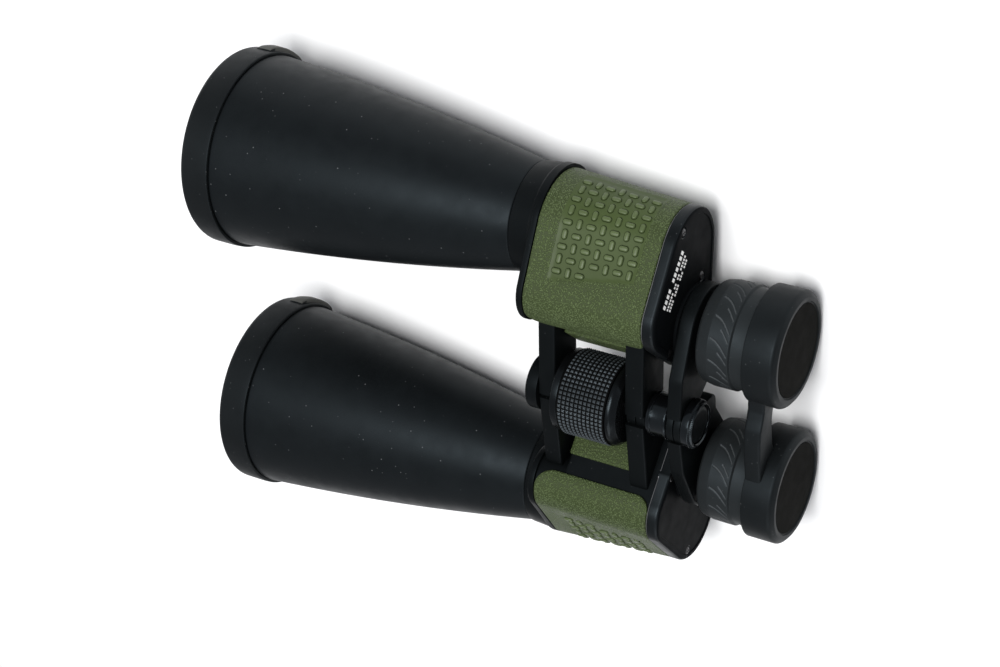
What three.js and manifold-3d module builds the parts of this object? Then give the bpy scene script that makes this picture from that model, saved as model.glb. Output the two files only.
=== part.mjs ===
// Large porro-prism astronomy binoculars, in millimetres, +Z up.
//
// Design frame: the centre hinge is the line x = 0, z = 0. X runs to the user's right, Y runs forward
// from the eyepieces to the objectives, and Z runs up through the side that carries the focus wheel.
// y = 0 is the flat rear face of the rain guard. The last lines move the whole assembly so that the
// origin is the bottom centre of its bounding box.

import * as THREE from 'three';
import { mergeVertices } from 'three/addons/utils/BufferGeometryUtils.js';
import Module from 'manifold-3d';

const wasm = await Module();
wasm.setup();

// ---------------------------------------------------------------- driving dimensions

const GAP = 0.3; // clearance between two pieces that touch
const OBJECTIVE = { x: 66.8, z: -22.4 }; // axis of the right objective
const EYEPIECE = { x: 35, z: -19.8 }; // axis of the right eyepiece, so the eyes are 70 apart

// Rain guard and eyepieces, from the rear forward
const GUARD_REAR = -0.4;
const GUARD_FRONT = 14.3;
const GUARD_R = 25;
const GUARD_BORE_R = 21.95;
const GUARD_FLOOR = 2.0;
const CUP_FRONT = 36.1;
const CUP_R = 22.5;
const BODY_R = 17.2; // eyepiece body under the eyecup
const BARREL_R = 11.7; // eyepiece barrel that slides in the housing
const BARREL_FRONT = 64;

// Ocular bridge and centre hinge
const BRIDGE = { y0: 39.2, y1: 45.6 };
const REAR_ARM = { y0: 56.2, y1: 64.7 };
const FRONT_ARM = { y0: 97.6, y1: 105.5 };
const BRIDGE_RING_R = 18.9;
const HINGE_R = 10; // rounded hinge end of each arm
// Each lapped pair: radius of its knuckles, how far from the hinge plane the arms start above and
// below the hinge, and the angle each arm leaves free below the hinge so that the pair can fold
const BRIDGE_LAP = { knuckleR: HINGE_R, above: 6, below: 0.3, leftAngle: 0, rightAngle: 31 };
const REAR_LAP = { knuckleR: 8.2, above: 2.6, below: 2.6, leftAngle: 15.5, rightAngle: 15.5 };
const FRONT_LAP = { knuckleR: 8.2, above: 1, below: 1, leftAngle: 15.5, rightAngle: 15.5 };
const AXLE_R = 5;
const SPINDLE_R = 2.9;
const SLEEVE_R = 9.6;
const FOLD_HALF = (15.5 * Math.PI) / 180; // each arm's share of the fold clearance
const BOSS = { r: 12, front: 111.3 };
const TRIPOD_CAP = { r: 6.4, recess: 1.7 }; // flange lying in the boss's recess

// Focus wheel
const WHEEL = { y0: 66, knurl0: 71, knurl1: 94, y1: 96.8 };
const WHEEL_R = 19;
const WHEEL_RIM_R = 18; // smooth rims either side of the knurl

// Prism housing: its outline is the hull of three circles, swept along Y
const COVER_REAR = 47.4;
const COVER_FRONT = 53;
const HUMP_FRONT = 95.4;
const ARMOUR_FRONT = 107.5;
const HOUSING_FRONT = 111;
const SNOUT_FRONT = 121;
const WALL = 2.2;
const ARMOUR_T = 1.2;
const SKIN = ARMOUR_T + GAP; // how far the casting lies under the armour's surface
const EYE_CORNER = { x: 35, z: -19.8, r: 19 };
const RIDGE = { x: 49.3, z: 1.6, r: 14.3 };
const OUTER = { x: 66.3, z: -21.2, rRear: 21.3, rFront: 25.2 };
const STRIP_EDGE_X = 31.6; // upper edge of the inner armour panel
const PANEL_EDGE_X = 37.4; // inner edge of the upper armour panel

// Objective tube
const TUBE_REAR = 114;
const GROOVE = 260; // where the cap's rear edge stands
const TUBE_FRONT = 270.5;
const TUBE_R = 43.2;
const NECK_R = 23.7;
const CAP_FRONT = 275;
const CAP_R = 44.7;
const CAP_BORE_R = 43;
const CAP_FLOOR = 1.8;
const LIP = { y0: 262, y1: 270, halfArc: 16, height: 2 }; // pull lip, its length along the rim

const LENS_R = 35.7;

// Segments round a turned piece, by its size
const FINE = 32;
const MEDIUM = 24;
const COARSE = 16;
const SMALL = 10;

// ---------------------------------------------------------------- materials

const material = (color, roughness, metalness = 0) =>
  new THREE.MeshStandardMaterial({ color, roughness, metalness });
const blackPaint = material(0x1a1b1d, 0.5, 0.2);
const blackPlastic = material(0x17181a, 0.55);
const glossBlack = material(0x0e0e10, 0.2);
const rubberBlack = material(0x1c1d1e, 0.8);
const greenArmour = material(0x47552c, 0.85);
const steel = material(0x3a3a3c, 0.35, 0.9);
const glass = material(0xdfe8ee, 0.05);

// ---------------------------------------------------------------- solids

/** A geometry's positions and triangles, merged and facing out, as a manifold solid. */
function solid(geometry) {
  const bare = geometry.clone();
  bare.deleteAttribute('normal');
  bare.deleteAttribute('uv');
  const merged = mergeVertices(bare, 1e-4);
  const vertProperties = new Float32Array(merged.attributes.position.array);
  const source = merged.index.array;
  const kept = [];
  for (let i = 0; i < source.length; i += 3) {
    const [a, b, c] = [source[i], source[i + 1], source[i + 2]];
    if (a !== b && b !== c && c !== a) kept.push(a, b, c);
  }
  if (signedVolume(vertProperties, kept) < 0) kept.reverse();
  const mesh = new wasm.Mesh({ numProp: 3, vertProperties, triVerts: new Uint32Array(kept) });
  mesh.merge();
  return new wasm.Manifold(mesh);
}

function signedVolume(p, tri) {
  let sum = 0;
  for (let i = 0; i < tri.length; i += 3) {
    const [a, b, c] = [tri[i] * 3, tri[i + 1] * 3, tri[i + 2] * 3];
    sum +=
      p[a] * (p[b + 1] * p[c + 2] - p[b + 2] * p[c + 1]) +
      p[a + 1] * (p[b + 2] * p[c] - p[b] * p[c + 2]) +
      p[a + 2] * (p[b] * p[c + 1] - p[b + 1] * p[c]);
  }
  return sum;
}

/** A manifold solid as a three.js geometry. */
function geometryOf(manifold) {
  const mesh = manifold.getMesh();
  const geometry = new THREE.BufferGeometry();
  geometry.setAttribute('position', new THREE.BufferAttribute(mesh.vertProperties, 3));
  geometry.setIndex(new THREE.BufferAttribute(mesh.triVerts, 1));
  return geometry;
}

/** A body of revolution about the Y axis through (x, z). Profile points are [radius, y]. */
function turned(profile, segments, axis = { x: 0, z: 0 }) {
  const points = profile.map(([r, y]) => new THREE.Vector2(r, y));
  const closed = profile[0][0] > 0 || profile[profile.length - 1][0] > 0;
  if (closed) points.push(points[0].clone());
  const geometry = new THREE.LatheGeometry(points, segments);
  geometry.translate(axis.x, 0, axis.z);
  return solid(geometry);
}

/** A plain cylinder along Y. */
function cylinder(radius, y0, y1, segments, axis) {
  return turned([[0, y0], [radius, y0], [radius, y1], [0, y1]], segments, axis);
}

/** An outline of [x, z] points, extruded from y0 to y1. */
function plate(outline, y0, y1) {
  const shape = new THREE.Shape(outline.map(([x, z]) => new THREE.Vector2(x, z)));
  const geometry = new THREE.ExtrudeGeometry(shape, { depth: y1 - y0, bevelEnabled: false });
  geometry.rotateX(Math.PI / 2);
  geometry.translate(0, y1, 0);
  return solid(geometry);
}

const OUTLINE_POINTS = 40;

/**
 * The hull of several circles, grown by an offset, as one [x, z] point per direction. The reference
 * circles decide which circle is outermost in a direction, so that outlines taken at different places
 * along a sweep all choose alike.
 */
function hullOutline(circles, offset = 0, reference = circles) {
  const outline = [];
  for (let i = 0; i < OUTLINE_POINTS; i += 1) {
    const angle = (2 * Math.PI * i) / OUTLINE_POINTS;
    const [nx, nz] = [Math.cos(angle), Math.sin(angle)];
    const reaches = reference.map((c) => c.x * nx + c.z * nz + c.r);
    const outermost = circles[reaches.indexOf(Math.max(...reaches))];
    const radius = outermost.r + offset;
    outline.push([outermost.x + radius * nx, outermost.z + radius * nz]);
  }
  return outline;
}

/** A closed skin through outlines of equal point counts, each at its own y. */
function loft(sections) {
  const count = sections[0].outline.length;
  const positions = [];
  const index = [];
  for (const { y, outline } of sections) {
    for (const [x, z] of outline) positions.push(x, y, z);
  }
  for (let s = 0; s + 1 < sections.length; s += 1) {
    for (let i = 0; i < count; i += 1) {
      const a = s * count + i;
      const b = s * count + ((i + 1) % count);
      index.push(a, b, a + count, b, b + count, a + count);
    }
  }
  const last = (sections.length - 1) * count;
  for (let i = 1; i + 1 < count; i += 1) {
    index.push(0, i + 1, i);
    index.push(last, last + i, last + i + 1);
  }
  const geometry = new THREE.BufferGeometry();
  geometry.setAttribute('position', new THREE.Float32BufferAttribute(positions, 3));
  geometry.setIndex(index);
  return solid(geometry);
}

/** A copy of a solid on the other side of the hinge plane. */
const mirrored = (manifold) => manifold.mirror([1, 0, 0]);

// ---------------------------------------------------------------- prism housing

const outerCircle = (y) => {
  const t = (y - COVER_FRONT) / (HOUSING_FRONT - COVER_FRONT);
  return { x: OUTER.x, z: OUTER.z, r: OUTER.rRear + t * (OUTER.rFront - OUTER.rRear) };
};
const fullCircles = (y) => [EYE_CORNER, RIDGE, outerCircle(y)];
const frontCircles = (y) => [RIDGE, outerCircle(y)];
const MIDDLE_Y = 80;
const fullOutline = (y, offset) => hullOutline(fullCircles(y), offset, fullCircles(MIDDLE_Y));
const frontOutline = (y, offset) => hullOutline(frontCircles(y), offset, frontCircles(MIDDLE_Y));

/** A loft of one outline rule between two y values at a constant offset. */
const sweep = (rule, y0, y1, offset) =>
  loft([y0, y1].map((y) => ({ y, outline: rule(y, offset) })));

/** Outline of a hinge arm, from the hinge circle into the housing. */
const armOutline = hullOutline([
  { x: 0, z: 0, r: HINGE_R },
  { x: 34.3, z: 1.6, r: 5.8 },
  { x: 37, z: -8, r: 4 },
]);

/** Outline of a bridge arm, from the hinge circle to the ring round the eyepiece. */
const bridgeOutline = hullOutline([
  { x: 0, z: 0, r: HINGE_R },
  { x: 0, z: -7.5, r: 10.6 },
  { x: 20, z: -4, r: 11 },
  { x: EYEPIECE.x, z: EYEPIECE.z, r: BRIDGE_RING_R },
]);
/** Flat lug of the left bridge arm, below the hinge. */
const lugOutline = hullOutline([
  { x: 4.5, z: -21, r: 4.4 },
  { x: 20, z: -21, r: 4.4 },
]);

/**
 * A lapped arm cut from a blank. The right arm owns the front half. Round the axle it keeps only its own half of the thickness, as a knuckle, and its end
 * is cut back at a slope so that the two arms of a pair can fold.
 */
function lappedArm(blank, { y0, y1 }, lap, ownsFront, boreR) {
  const middle = (y0 + y1) / 2;
  const own = ownsFront ? [middle + GAP / 2, y1] : [y0, middle - GAP / 2];
  const other = ownsFront ? [y0 - 1, middle + GAP / 2] : [middle - GAP / 2, y1 + 1];
  const reach = 60;
  const angle = ownsFront ? lap.rightAngle : lap.leftAngle;
  const slope = Math.tan((angle * Math.PI) / 180);
  const region = [
    [lap.below, 0],
    [lap.below + reach * slope, -reach],
    [2 * reach, -reach],
    [2 * reach, reach],
    [lap.above, reach],
    [lap.above, 0],
  ];
  const arm = blank.intersect(plate(region, y0 - 1, y1 + 1));
  const room = cylinder(lap.knuckleR + GAP + 0.1, other[0], other[1], MEDIUM);
  const knuckle = cylinder(lap.knuckleR, own[0], own[1], MEDIUM);
  const bore = cylinder(boreR, y0 - 1, y1 + 1, COARSE);
  return arm.subtract(room).add(knuckle).subtract(bore);
}

function housing(ownsFront) {
  const chamfer = 1.2;
  const hump = sweep(fullOutline, COVER_FRONT + GAP, HUMP_FRONT, -SKIN);
  const trunk = sweep(frontOutline, COVER_FRONT + GAP, ARMOUR_FRONT + GAP, -SKIN);
  const flange = loft([
    { y: ARMOUR_FRONT + GAP, outline: frontOutline(ARMOUR_FRONT, 0) },
    { y: HOUSING_FRONT - chamfer, outline: frontOutline(HOUSING_FRONT, 0) },
    { y: HOUSING_FRONT, outline: frontOutline(HOUSING_FRONT, -chamfer) },
  ]);
  const snoutR = 20.8;
  const wallRear = ARMOUR_FRONT + GAP;
  const snout = turned(
    [[snoutR, wallRear], [25.4, wallRear], [25.4, HOUSING_FRONT], [24.3, SNOUT_FRONT],
      [snoutR, SNOUT_FRONT]],
    FINE,
    OBJECTIVE,
  );
  const inner = -SKIN - WALL;
  const humpCavity = sweep(fullOutline, COVER_FRONT - 1, HUMP_FRONT - WALL, inner);
  const trunkCavity = sweep(frontOutline, COVER_FRONT - 1, HOUSING_FRONT - WALL - 1, inner);
  const light = cylinder(snoutR, 90, SNOUT_FRONT + 1, FINE, OBJECTIVE);
  const axleBore = AXLE_R + GAP;
  return hump
    .add(trunk)
    .add(flange)
    .add(snout)
    .subtract(humpCavity)
    .subtract(trunkCavity)
    .subtract(light)
    .add(armShell(lappedArm(armBlank(REAR_ARM), REAR_ARM, REAR_LAP, ownsFront, axleBore)))
    .add(armShell(lappedArm(armBlank(FRONT_ARM), FRONT_ARM, FRONT_LAP, ownsFront, axleBore)));
}

const armBlank = ({ y0, y1 }) => plate(armOutline, y0, y1);

/** The part of an arm that stands outside the housing's cavity. */
const armShell = (arm) =>
  arm.subtract(sweep(fullOutline, COVER_FRONT - 1, HUMP_FRONT - WALL, -SKIN - WALL / 2))
    .subtract(sweep(frontOutline, COVER_FRONT - 1, HOUSING_FRONT - WALL - 1, -SKIN - WALL / 2));

const screwPlaces = [
  { x: 81.8, z: -13.8 },
  { x: 52.4, z: -30 },
  { x: 32, z: 0 },
];
const SCREW_HEAD_R = 1.9;

function rearCover() {
  const bevel = 1.6;
  const shell = loft([
    { y: COVER_REAR, outline: fullOutline(COVER_FRONT, -bevel) },
    { y: COVER_REAR + bevel, outline: fullOutline(COVER_FRONT, 0) },
    { y: COVER_FRONT, outline: fullOutline(COVER_FRONT, 0) },
  ]);
  const hollow = sweep(() => fullOutline(COVER_FRONT, -WALL), COVER_REAR + WALL, COVER_FRONT + 1, 0);
  const lip = cylinder(17.5, COVER_REAR - 1.1, COVER_REAR + 1, MEDIUM, EYEPIECE);
  const bore = cylinder(BARREL_R + GAP + 0.1, COVER_REAR - 2, COVER_FRONT, MEDIUM, EYEPIECE);
  let cover = shell.subtract(hollow).add(lip).subtract(bore);
  for (const place of screwPlaces) {
    const boss = cylinder(3.2, COVER_REAR + 0.5, COVER_FRONT, SMALL, place);
    const seat = cylinder(SCREW_HEAD_R + GAP, COVER_REAR - 1, COVER_REAR + 1.6, SMALL, place);
    const shank = cylinder(1.3, COVER_REAR, COVER_FRONT + 1, SMALL, place);
    cover = cover.add(boss).subtract(seat).subtract(shank);
  }
  return cover;
}

function coverScrew(place) {
  const head = COVER_REAR + 0.3;
  const seat = COVER_REAR + 1.3;
  return turned(
    [[0, head + 0.5], [0.7, head], [SCREW_HEAD_R, head + 0.2], [SCREW_HEAD_R, seat],
      [1, seat], [1, COVER_FRONT - 0.5], [0, COVER_FRONT - 0.3]],
    SMALL,
    place,
  );
}

/** Armour over the slope, the ridge, the outer side and the outer part of the underside. */
function upperArmour() {
  const region = [
    [PANEL_EDGE_X, 40], [PANEL_EDGE_X, 5], [46, -6], [63, -22], [63, -80], [130, -80], [130, 40],
  ];
  const rear = COVER_FRONT + GAP;
  const outside = sweep(fullOutline, rear, HUMP_FRONT, 0)
    .add(sweep(frontOutline, rear, ARMOUR_FRONT, 0));
  const inside = sweep(fullOutline, rear - 1, HUMP_FRONT, -ARMOUR_T)
    .add(sweep(frontOutline, rear - 1, ARMOUR_FRONT + 1, -ARMOUR_T));
  return outside.subtract(inside).intersect(plate(region, 0, 200));
}

function innerArmour() {
  const region = [
    [STRIP_EDGE_X, 30], [0, 30], [0, -80], [62, -80], [62, -30], [35, -22], [STRIP_EDGE_X, -6],
  ];
  const rear = REAR_ARM.y1 + 0.5;
  return sweep(fullOutline, rear, HUMP_FRONT, 0)
    .subtract(sweep(fullOutline, rear - 1, HUMP_FRONT + 1, -ARMOUR_T))
    .intersect(plate(region, 0, 200));
}

// ---------------------------------------------------------------- prisms

/** Middle point of the folded light path, between the two prisms. */
const FOLD_POINT = { x: 52.2, z: -5.2 };

/**
 * A right-angle prism whose long face spans from one light path to the next. The face stands at
 * y = face and the roof edge points along sign.
 */
function prism(from, to, face, sign) {
  const shift = Math.hypot(to.x - from.x, to.z - from.z);
  const [ux, uz] = [(to.x - from.x) / shift, (to.z - from.z) / shift];
  const half = 18.6;
  const width = 19;
  const centre = { x: (from.x + to.x) / 2, z: (from.z + to.z) / 2 };
  const shape = new THREE.Shape([
    new THREE.Vector2(-half, 0),
    new THREE.Vector2(half, 0),
    new THREE.Vector2(0.6, half - 0.6),
    new THREE.Vector2(-0.6, half - 0.6),
  ]);
  const geometry = new THREE.ExtrudeGeometry(shape, { depth: width, bevelEnabled: false });
  geometry.translate(0, 0, -width / 2);
  const basis = new THREE.Matrix4().makeBasis(
    new THREE.Vector3(ux, 0, uz),
    new THREE.Vector3(0, sign, 0),
    new THREE.Vector3(-uz, 0, ux),
  );
  basis.setPosition(centre.x, face, centre.z);
  geometry.applyMatrix4(basis);
  return solid(geometry);
}

const SHELF = { y0: 72, y1: 73.8 };

/** Plate between the prisms, with a window where the light crosses and where it leaves. */
function prismShelf() {
  const windowR = 9;
  const clearance = 1;
  const blank = sweep(fullOutline, SHELF.y0, SHELF.y1, -SKIN - WALL - clearance);
  const entry = cylinder(windowR, SHELF.y0 - 1, SHELF.y1 + 1, COARSE, OBJECTIVE);
  const middle = cylinder(windowR - 1, SHELF.y0 - 1, SHELF.y1 + 1, COARSE, FOLD_POINT);
  const exit = cylinder(windowR, SHELF.y0 - 1, SHELF.y1 + 1, COARSE, EYEPIECE);
  return blank.subtract(entry).subtract(middle).subtract(exit);
}

// ---------------------------------------------------------------- objective tube and its optics

/** Outer radius of the tapered tube, bellied a little between its neck and the cap. */
function taper(y) {
  const u = (y - GROOVE) / (GROOVE - SNOUT_FRONT);
  const belly = 8.1;
  return TUBE_R + (TUBE_R - NECK_R - belly) * u - belly * u * u;
}

function objectiveTube() {
  const wall = 1.9;
  const neck = SNOUT_FRONT + 0.4;
  const stations = [neck, 142, 170, 205, 240, GROOVE - 0.4];
  const cellSeat = 240;
  const outside = stations.map((y) => [taper(y), y]);
  const inside = stations
    .filter((y) => y < cellSeat)
    .map((y) => [taper(y) - wall, Math.max(y, neck + 1.6)])
    .reverse();
  const spigotR = 20.4;
  const lipR = 42.6;
  const cellR = 40.7;
  return turned(
    [
      [spigotR, TUBE_REAR],
      [spigotR, neck],
      ...outside,
      [lipR, GROOVE - 0.4],
      [lipR, TUBE_FRONT],
      [cellR, TUBE_FRONT],
      [cellR, cellSeat],
      [taper(cellSeat) - wall, cellSeat],
      ...inside,
      [spigotR - wall, neck + 1.6],
      [spigotR - wall, TUBE_REAR],
    ],
    FINE,
    OBJECTIVE,
  );
}

const LENS_SEAT = 243;

function objectiveCell() {
  const outerR = 40.4;
  return turned(
    [[outerR, 240.3], [outerR, 264], [36, 264], [36, LENS_SEAT], [33.5, LENS_SEAT], [33.5, 240.3]],
    FINE,
    OBJECTIVE,
  );
}

/** A lens: rear and front surfaces rise by their sags from the edge to the axis. */
function lens(radius, rearEdge, rearSag, frontEdge, frontSag, segments, axis) {
  const rings = 2;
  const bow = (sag, t) => sag * (1 - t * t);
  const profile = [];
  for (let i = 0; i <= rings; i += 1) {
    const t = i / rings;
    profile.push([radius * t, rearEdge + bow(rearSag, t)]);
  }
  for (let i = rings; i >= 0; i -= 1) {
    const t = i / rings;
    profile.push([radius * t, frontEdge + bow(frontSag, t)]);
  }
  return turned(profile, segments, axis);
}

const flintLens = () => lens(LENS_R, 243.3, 0.6, 247.5, -2.2, MEDIUM, OBJECTIVE);
const crownLens = () => lens(LENS_R, 247.8, -2.2, 251, 3, MEDIUM, OBJECTIVE);

function retainingRing() {
  return turned([[33.2, 252], [35.7, 252], [35.7, 255], [33.6, 255]], MEDIUM, OBJECTIVE);
}

/** Slip-over cap, with a pull lip on the side given by its angle in the X-Z plane. */
function objectiveCap(lipAngle, axis) {
  const rear = GROOVE + 0.1;
  const rimBevel = 1.2;
  const outside = turned(
    [[0, rear], [CAP_R, rear], [CAP_R, CAP_FRONT - 3.4], [CAP_R - rimBevel, CAP_FRONT - 0.9],
      [CAP_R - 3, CAP_FRONT], [0, CAP_FRONT]],
    FINE,
    axis,
  );
  const ring = cylinder(CAP_R + LIP.height, LIP.y0, LIP.y1, 2 * FINE, axis);
  const half = LIP.halfArc / CAP_R;
  const reach = 2 * CAP_R;
  const corner = (angle) => [axis.x + reach * Math.cos(angle), axis.z + reach * Math.sin(angle)];
  const wedge = [[axis.x, axis.z], corner(lipAngle - half), corner(lipAngle + half)];
  const lip = ring.intersect(plate(wedge, LIP.y0 - 1, LIP.y1 + 1));
  const bore = cylinder(CAP_BORE_R, rear - 1, CAP_FRONT - CAP_FLOOR, FINE, axis);
  return outside.add(lip).subtract(bore);
}

// ---------------------------------------------------------------- eyepieces and rain guard

function eyepieceBody() {
  const flangeR = 14.6;
  const boreR = 10;
  return turned(
    [
      [14.6, 14.8],
      [BODY_R, 14.8],
      [BODY_R, BRIDGE.y0 - 1.6],
      [flangeR, BRIDGE.y0 - GAP],
      [BARREL_R, BRIDGE.y0 - GAP],
      [BARREL_R, BARREL_FRONT],
      [boreR, BARREL_FRONT],
      [boreR, 36],
      [12.6, 34.5],
      [12.6, 22],
      [14.6, 20],
    ],
    MEDIUM,
    EYEPIECE,
  );
}

const eyeLens = () => lens(12.2, 22.6, -1.8, 27, 1.5, COARSE, EYEPIECE);
const fieldLens = () => lens(12.2, 30, -0.8, 33, 1.2, COARSE, EYEPIECE);

function eyecup() {
  const rear = GUARD_FLOOR + 0.4;
  const bowlR = 18.9;
  const seatR = BODY_R + GAP;
  return turned(
    [
      [bowlR, rear],
      [20.6, rear],
      [21.4, rear + 0.8],
      [21.6, GUARD_FRONT],
      [21.6, 21],
      [CUP_R, 21.4],
      [CUP_R, 30.6],
      [21.6, 35.2],
      [20.8, CUP_FRONT],
      [seatR, CUP_FRONT],
      [seatR, 14.4],
      [bowlR, 14.4],
    ],
    MEDIUM,
    EYEPIECE,
  );
}

const WEB = { rear: 6.7, top: 1, bottom: -12, reach: 30 }; // joining web between the guard's cups

/** One cup of the rain guard with its half of the joining web, cut back to leave room to fold. */
function rainGuard() {
  const cup = turned(
    [[0, 0], [20.3, 0], [20.6, GUARD_REAR], [23.2, GUARD_REAR], [GUARD_R, 1.4],
      [GUARD_R, GUARD_FRONT - 0.5], [GUARD_R - 0.5, GUARD_FRONT], [0, GUARD_FRONT]],
    FINE,
    EYEPIECE,
  );
  const endGap = 0.5;
  const web = plate(
    [
      [endGap, WEB.top],
      [WEB.reach, WEB.top],
      [WEB.reach, WEB.bottom],
      [endGap - WEB.bottom * Math.tan(FOLD_HALF), WEB.bottom],
      [endGap, 0],
    ],
    WEB.rear,
    GUARD_FRONT,
  );
  const bore = cylinder(GUARD_BORE_R, GUARD_FLOOR, GUARD_FRONT + 1, FINE, EYEPIECE);
  return cup.add(web).subtract(bore);
}

/** Bridge arm with the ring that carries one eyepiece. */
function bridgeArm(ownsFront) {
  const bore = cylinder(BARREL_R + GAP, BRIDGE.y0 - 1, BRIDGE.y1 + 1, MEDIUM, EYEPIECE);
  const arm = plate(bridgeOutline, BRIDGE.y0, BRIDGE.y1);
  const blank = ownsFront ? arm : arm.add(plate(lugOutline, BRIDGE.y0, BRIDGE.y1));
  return lappedArm(blank, BRIDGE, BRIDGE_LAP, ownsFront, AXLE_R + 0.1 + GAP).subtract(bore);
}

// ---------------------------------------------------------------- centre hinge and focus wheel

function hingeAxle() {
  const y0 = REAR_ARM.y0 + 0.1;
  const y1 = FRONT_ARM.y1 - 0.1;
  const boreR = SPINDLE_R + 0.4;
  return turned([[boreR, y0], [AXLE_R, y0], [AXLE_R, y1], [boreR, y1]], COARSE);
}

function focusSpindle() {
  const rear = BRIDGE.y0;
  const shoulder = BRIDGE.y1 + GAP;
  const sleeveFront = REAR_ARM.y0 - GAP;
  return turned(
    [[0, rear], [AXLE_R + 0.1, rear], [AXLE_R + 0.1, shoulder], [SLEEVE_R - 0.5, shoulder],
      [SLEEVE_R, shoulder + 0.5], [SLEEVE_R, sleeveFront - 0.5], [SLEEVE_R - 0.5, sleeveFront],
      [SPINDLE_R, sleeveFront], [SPINDLE_R, 94], [0, 94]],
    COARSE,
  );
}

const BEZEL = { y0: 34.1, floor: 36.9, y1: BRIDGE.y0 - GAP };

function bridgeBezel() {
  const dishR = 8.2;
  return turned(
    [[0, BEZEL.floor], [dishR, BEZEL.floor], [dishR, BEZEL.y0 + 0.2], [9.2, BEZEL.y0],
      [10.6, BEZEL.y0 + 1.2], [10.6, BEZEL.y1], [0, BEZEL.y1]],
    COARSE + 8,
  );
}

const bridgeDisc = () => cylinder(7.9, BEZEL.y0 + 0.5, BEZEL.floor - GAP, COARSE + 8);

function wheelCore() {
  const boreR = AXLE_R + 0.4;
  const seatR = WHEEL_R - 2.7;
  return turned(
    [
      [boreR, WHEEL.y0],
      [WHEEL_RIM_R - 2, WHEEL.y0],
      [WHEEL_RIM_R - 0.5, WHEEL.y0 + 1.2],
      [WHEEL_RIM_R, WHEEL.y0 + 3],
      [WHEEL_RIM_R, WHEEL.knurl0],
      [seatR, WHEEL.knurl0],
      [seatR, WHEEL.knurl1],
      [WHEEL_RIM_R, WHEEL.knurl1],
      [WHEEL_RIM_R, WHEEL.y1 - 0.8],
      [WHEEL_RIM_R - 0.8, WHEEL.y1],
      [boreR, WHEEL.y1],
    ],
    MEDIUM,
  );
}

function wheelGrip() {
  const innerR = WHEEL_R - 2.4;
  const y0 = WHEEL.knurl0 + GAP;
  const y1 = WHEEL.knurl1 - GAP;
  return turned([[innerR, y0], [WHEEL_R, y0], [WHEEL_R, y1], [innerR, y1]], FINE);
}

const SOCKET_R = 3.3;

function hingeBoss() {
  const rear = FRONT_ARM.y1 + GAP;
  const socketFloor = rear + 1.2;
  const recessFloor = BOSS.front - TRIPOD_CAP.recess;
  const recessR = TRIPOD_CAP.r + GAP;
  const bevel = 0.8;
  return turned(
    [[0, rear], [BOSS.r, rear], [BOSS.r, BOSS.front - bevel], [BOSS.r - bevel, BOSS.front],
      [recessR, BOSS.front], [recessR, recessFloor], [SOCKET_R, recessFloor],
      [SOCKET_R, socketFloor], [0, socketFloor]],
    MEDIUM,
  );
}

function tripodCap() {
  const plugR = SOCKET_R - 0.4;
  const plugRear = FRONT_ARM.y1 + 2.6;
  const flangeRear = BOSS.front - TRIPOD_CAP.recess + GAP;
  const face = BOSS.front - 0.2;
  return turned(
    [[0, plugRear], [plugR, plugRear], [plugR, flangeRear], [TRIPOD_CAP.r, flangeRear],
      [TRIPOD_CAP.r, face - 0.4], [TRIPOD_CAP.r - 0.4, face], [0, face]],
    COARSE,
  );
}

// ---------------------------------------------------------------- assembly

const assembly = new THREE.Group();

function place(name, manifold, finish) {
  const mesh = new THREE.Mesh(geometryOf(manifold), finish);
  mesh.name = name;
  assembly.add(mesh);
}

/** Pull lips stand on the same side of both caps. */
const LIP_ANGLE = (-38 * Math.PI) / 180;

for (const side of ['left', 'right']) {
  const isRight = side === 'right';
  const handed = (manifold) => (isRight ? manifold : mirrored(manifold));
  const put = (name, manifold, finish) => place(`${side}_${name}`, handed(manifold), finish);
  put('objective_tube', objectiveTube(), blackPaint);
  put('objective_cell', objectiveCell(), blackPlastic);
  put('objective_flint', flintLens(), glass);
  put('objective_crown', crownLens(), glass);
  put('objective_ring', retainingRing(), steel);
  put('housing', housing(isRight), blackPaint);
  put('rear_cover', rearCover(), blackPlastic);
  screwPlaces.forEach((spot, i) => put(`cover_screw_${i + 1}`, coverScrew(spot), steel));
  put('upper_armour', upperArmour(), greenArmour);
  put('inner_armour', innerArmour(), greenArmour);
  put('rear_prism', prism(OBJECTIVE, FOLD_POINT, SHELF.y0 - GAP, -1), glass);
  put('front_prism', prism(FOLD_POINT, EYEPIECE, SHELF.y1 + GAP, 1), glass);
  put('prism_shelf', prismShelf(), blackPlastic);
  put('eyepiece_body', eyepieceBody(), blackPaint);
  put('eye_lens', eyeLens(), glass);
  put('field_lens', fieldLens(), glass);
  put('eyecup', eyecup(), rubberBlack);
  put('bridge_arm', bridgeArm(isRight), blackPaint);
  put('rain_guard', rainGuard(), rubberBlack);
  const lipAngle = isRight ? LIP_ANGLE : Math.PI - LIP_ANGLE;
  put('objective_cap', objectiveCap(lipAngle, OBJECTIVE), rubberBlack);
}

place('hinge_axle', hingeAxle(), steel);
place('focus_spindle', focusSpindle(), glossBlack);
place('bridge_bezel', bridgeBezel(), glossBlack);
place('bridge_disc', bridgeDisc(), blackPlastic);
place('focus_wheel_core', wheelCore(), glossBlack);
place('focus_wheel_grip', wheelGrip(), rubberBlack);
place('hinge_boss', hingeBoss(), blackPaint);
place('tripod_cap', tripodCap(), blackPlastic);

// Bottom centre of the bounding box: half the length, and the lowest point of the objective caps.
assembly.position.set(0, -(CAP_FRONT + GUARD_REAR) / 2, CAP_R - OBJECTIVE.z);

export default assembly;
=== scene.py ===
"""Large porro-prism astronomy binoculars: the finished look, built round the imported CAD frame.

Shapes are worked out in millimetres in the design frame: the centre hinge is the line x = 0, z = 0,
X runs to the right-hand barrel, Y forward from the rain guard and Z up through the focus wheel.
make() moves every piece into the row frame, in metres.
"""

import math

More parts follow.
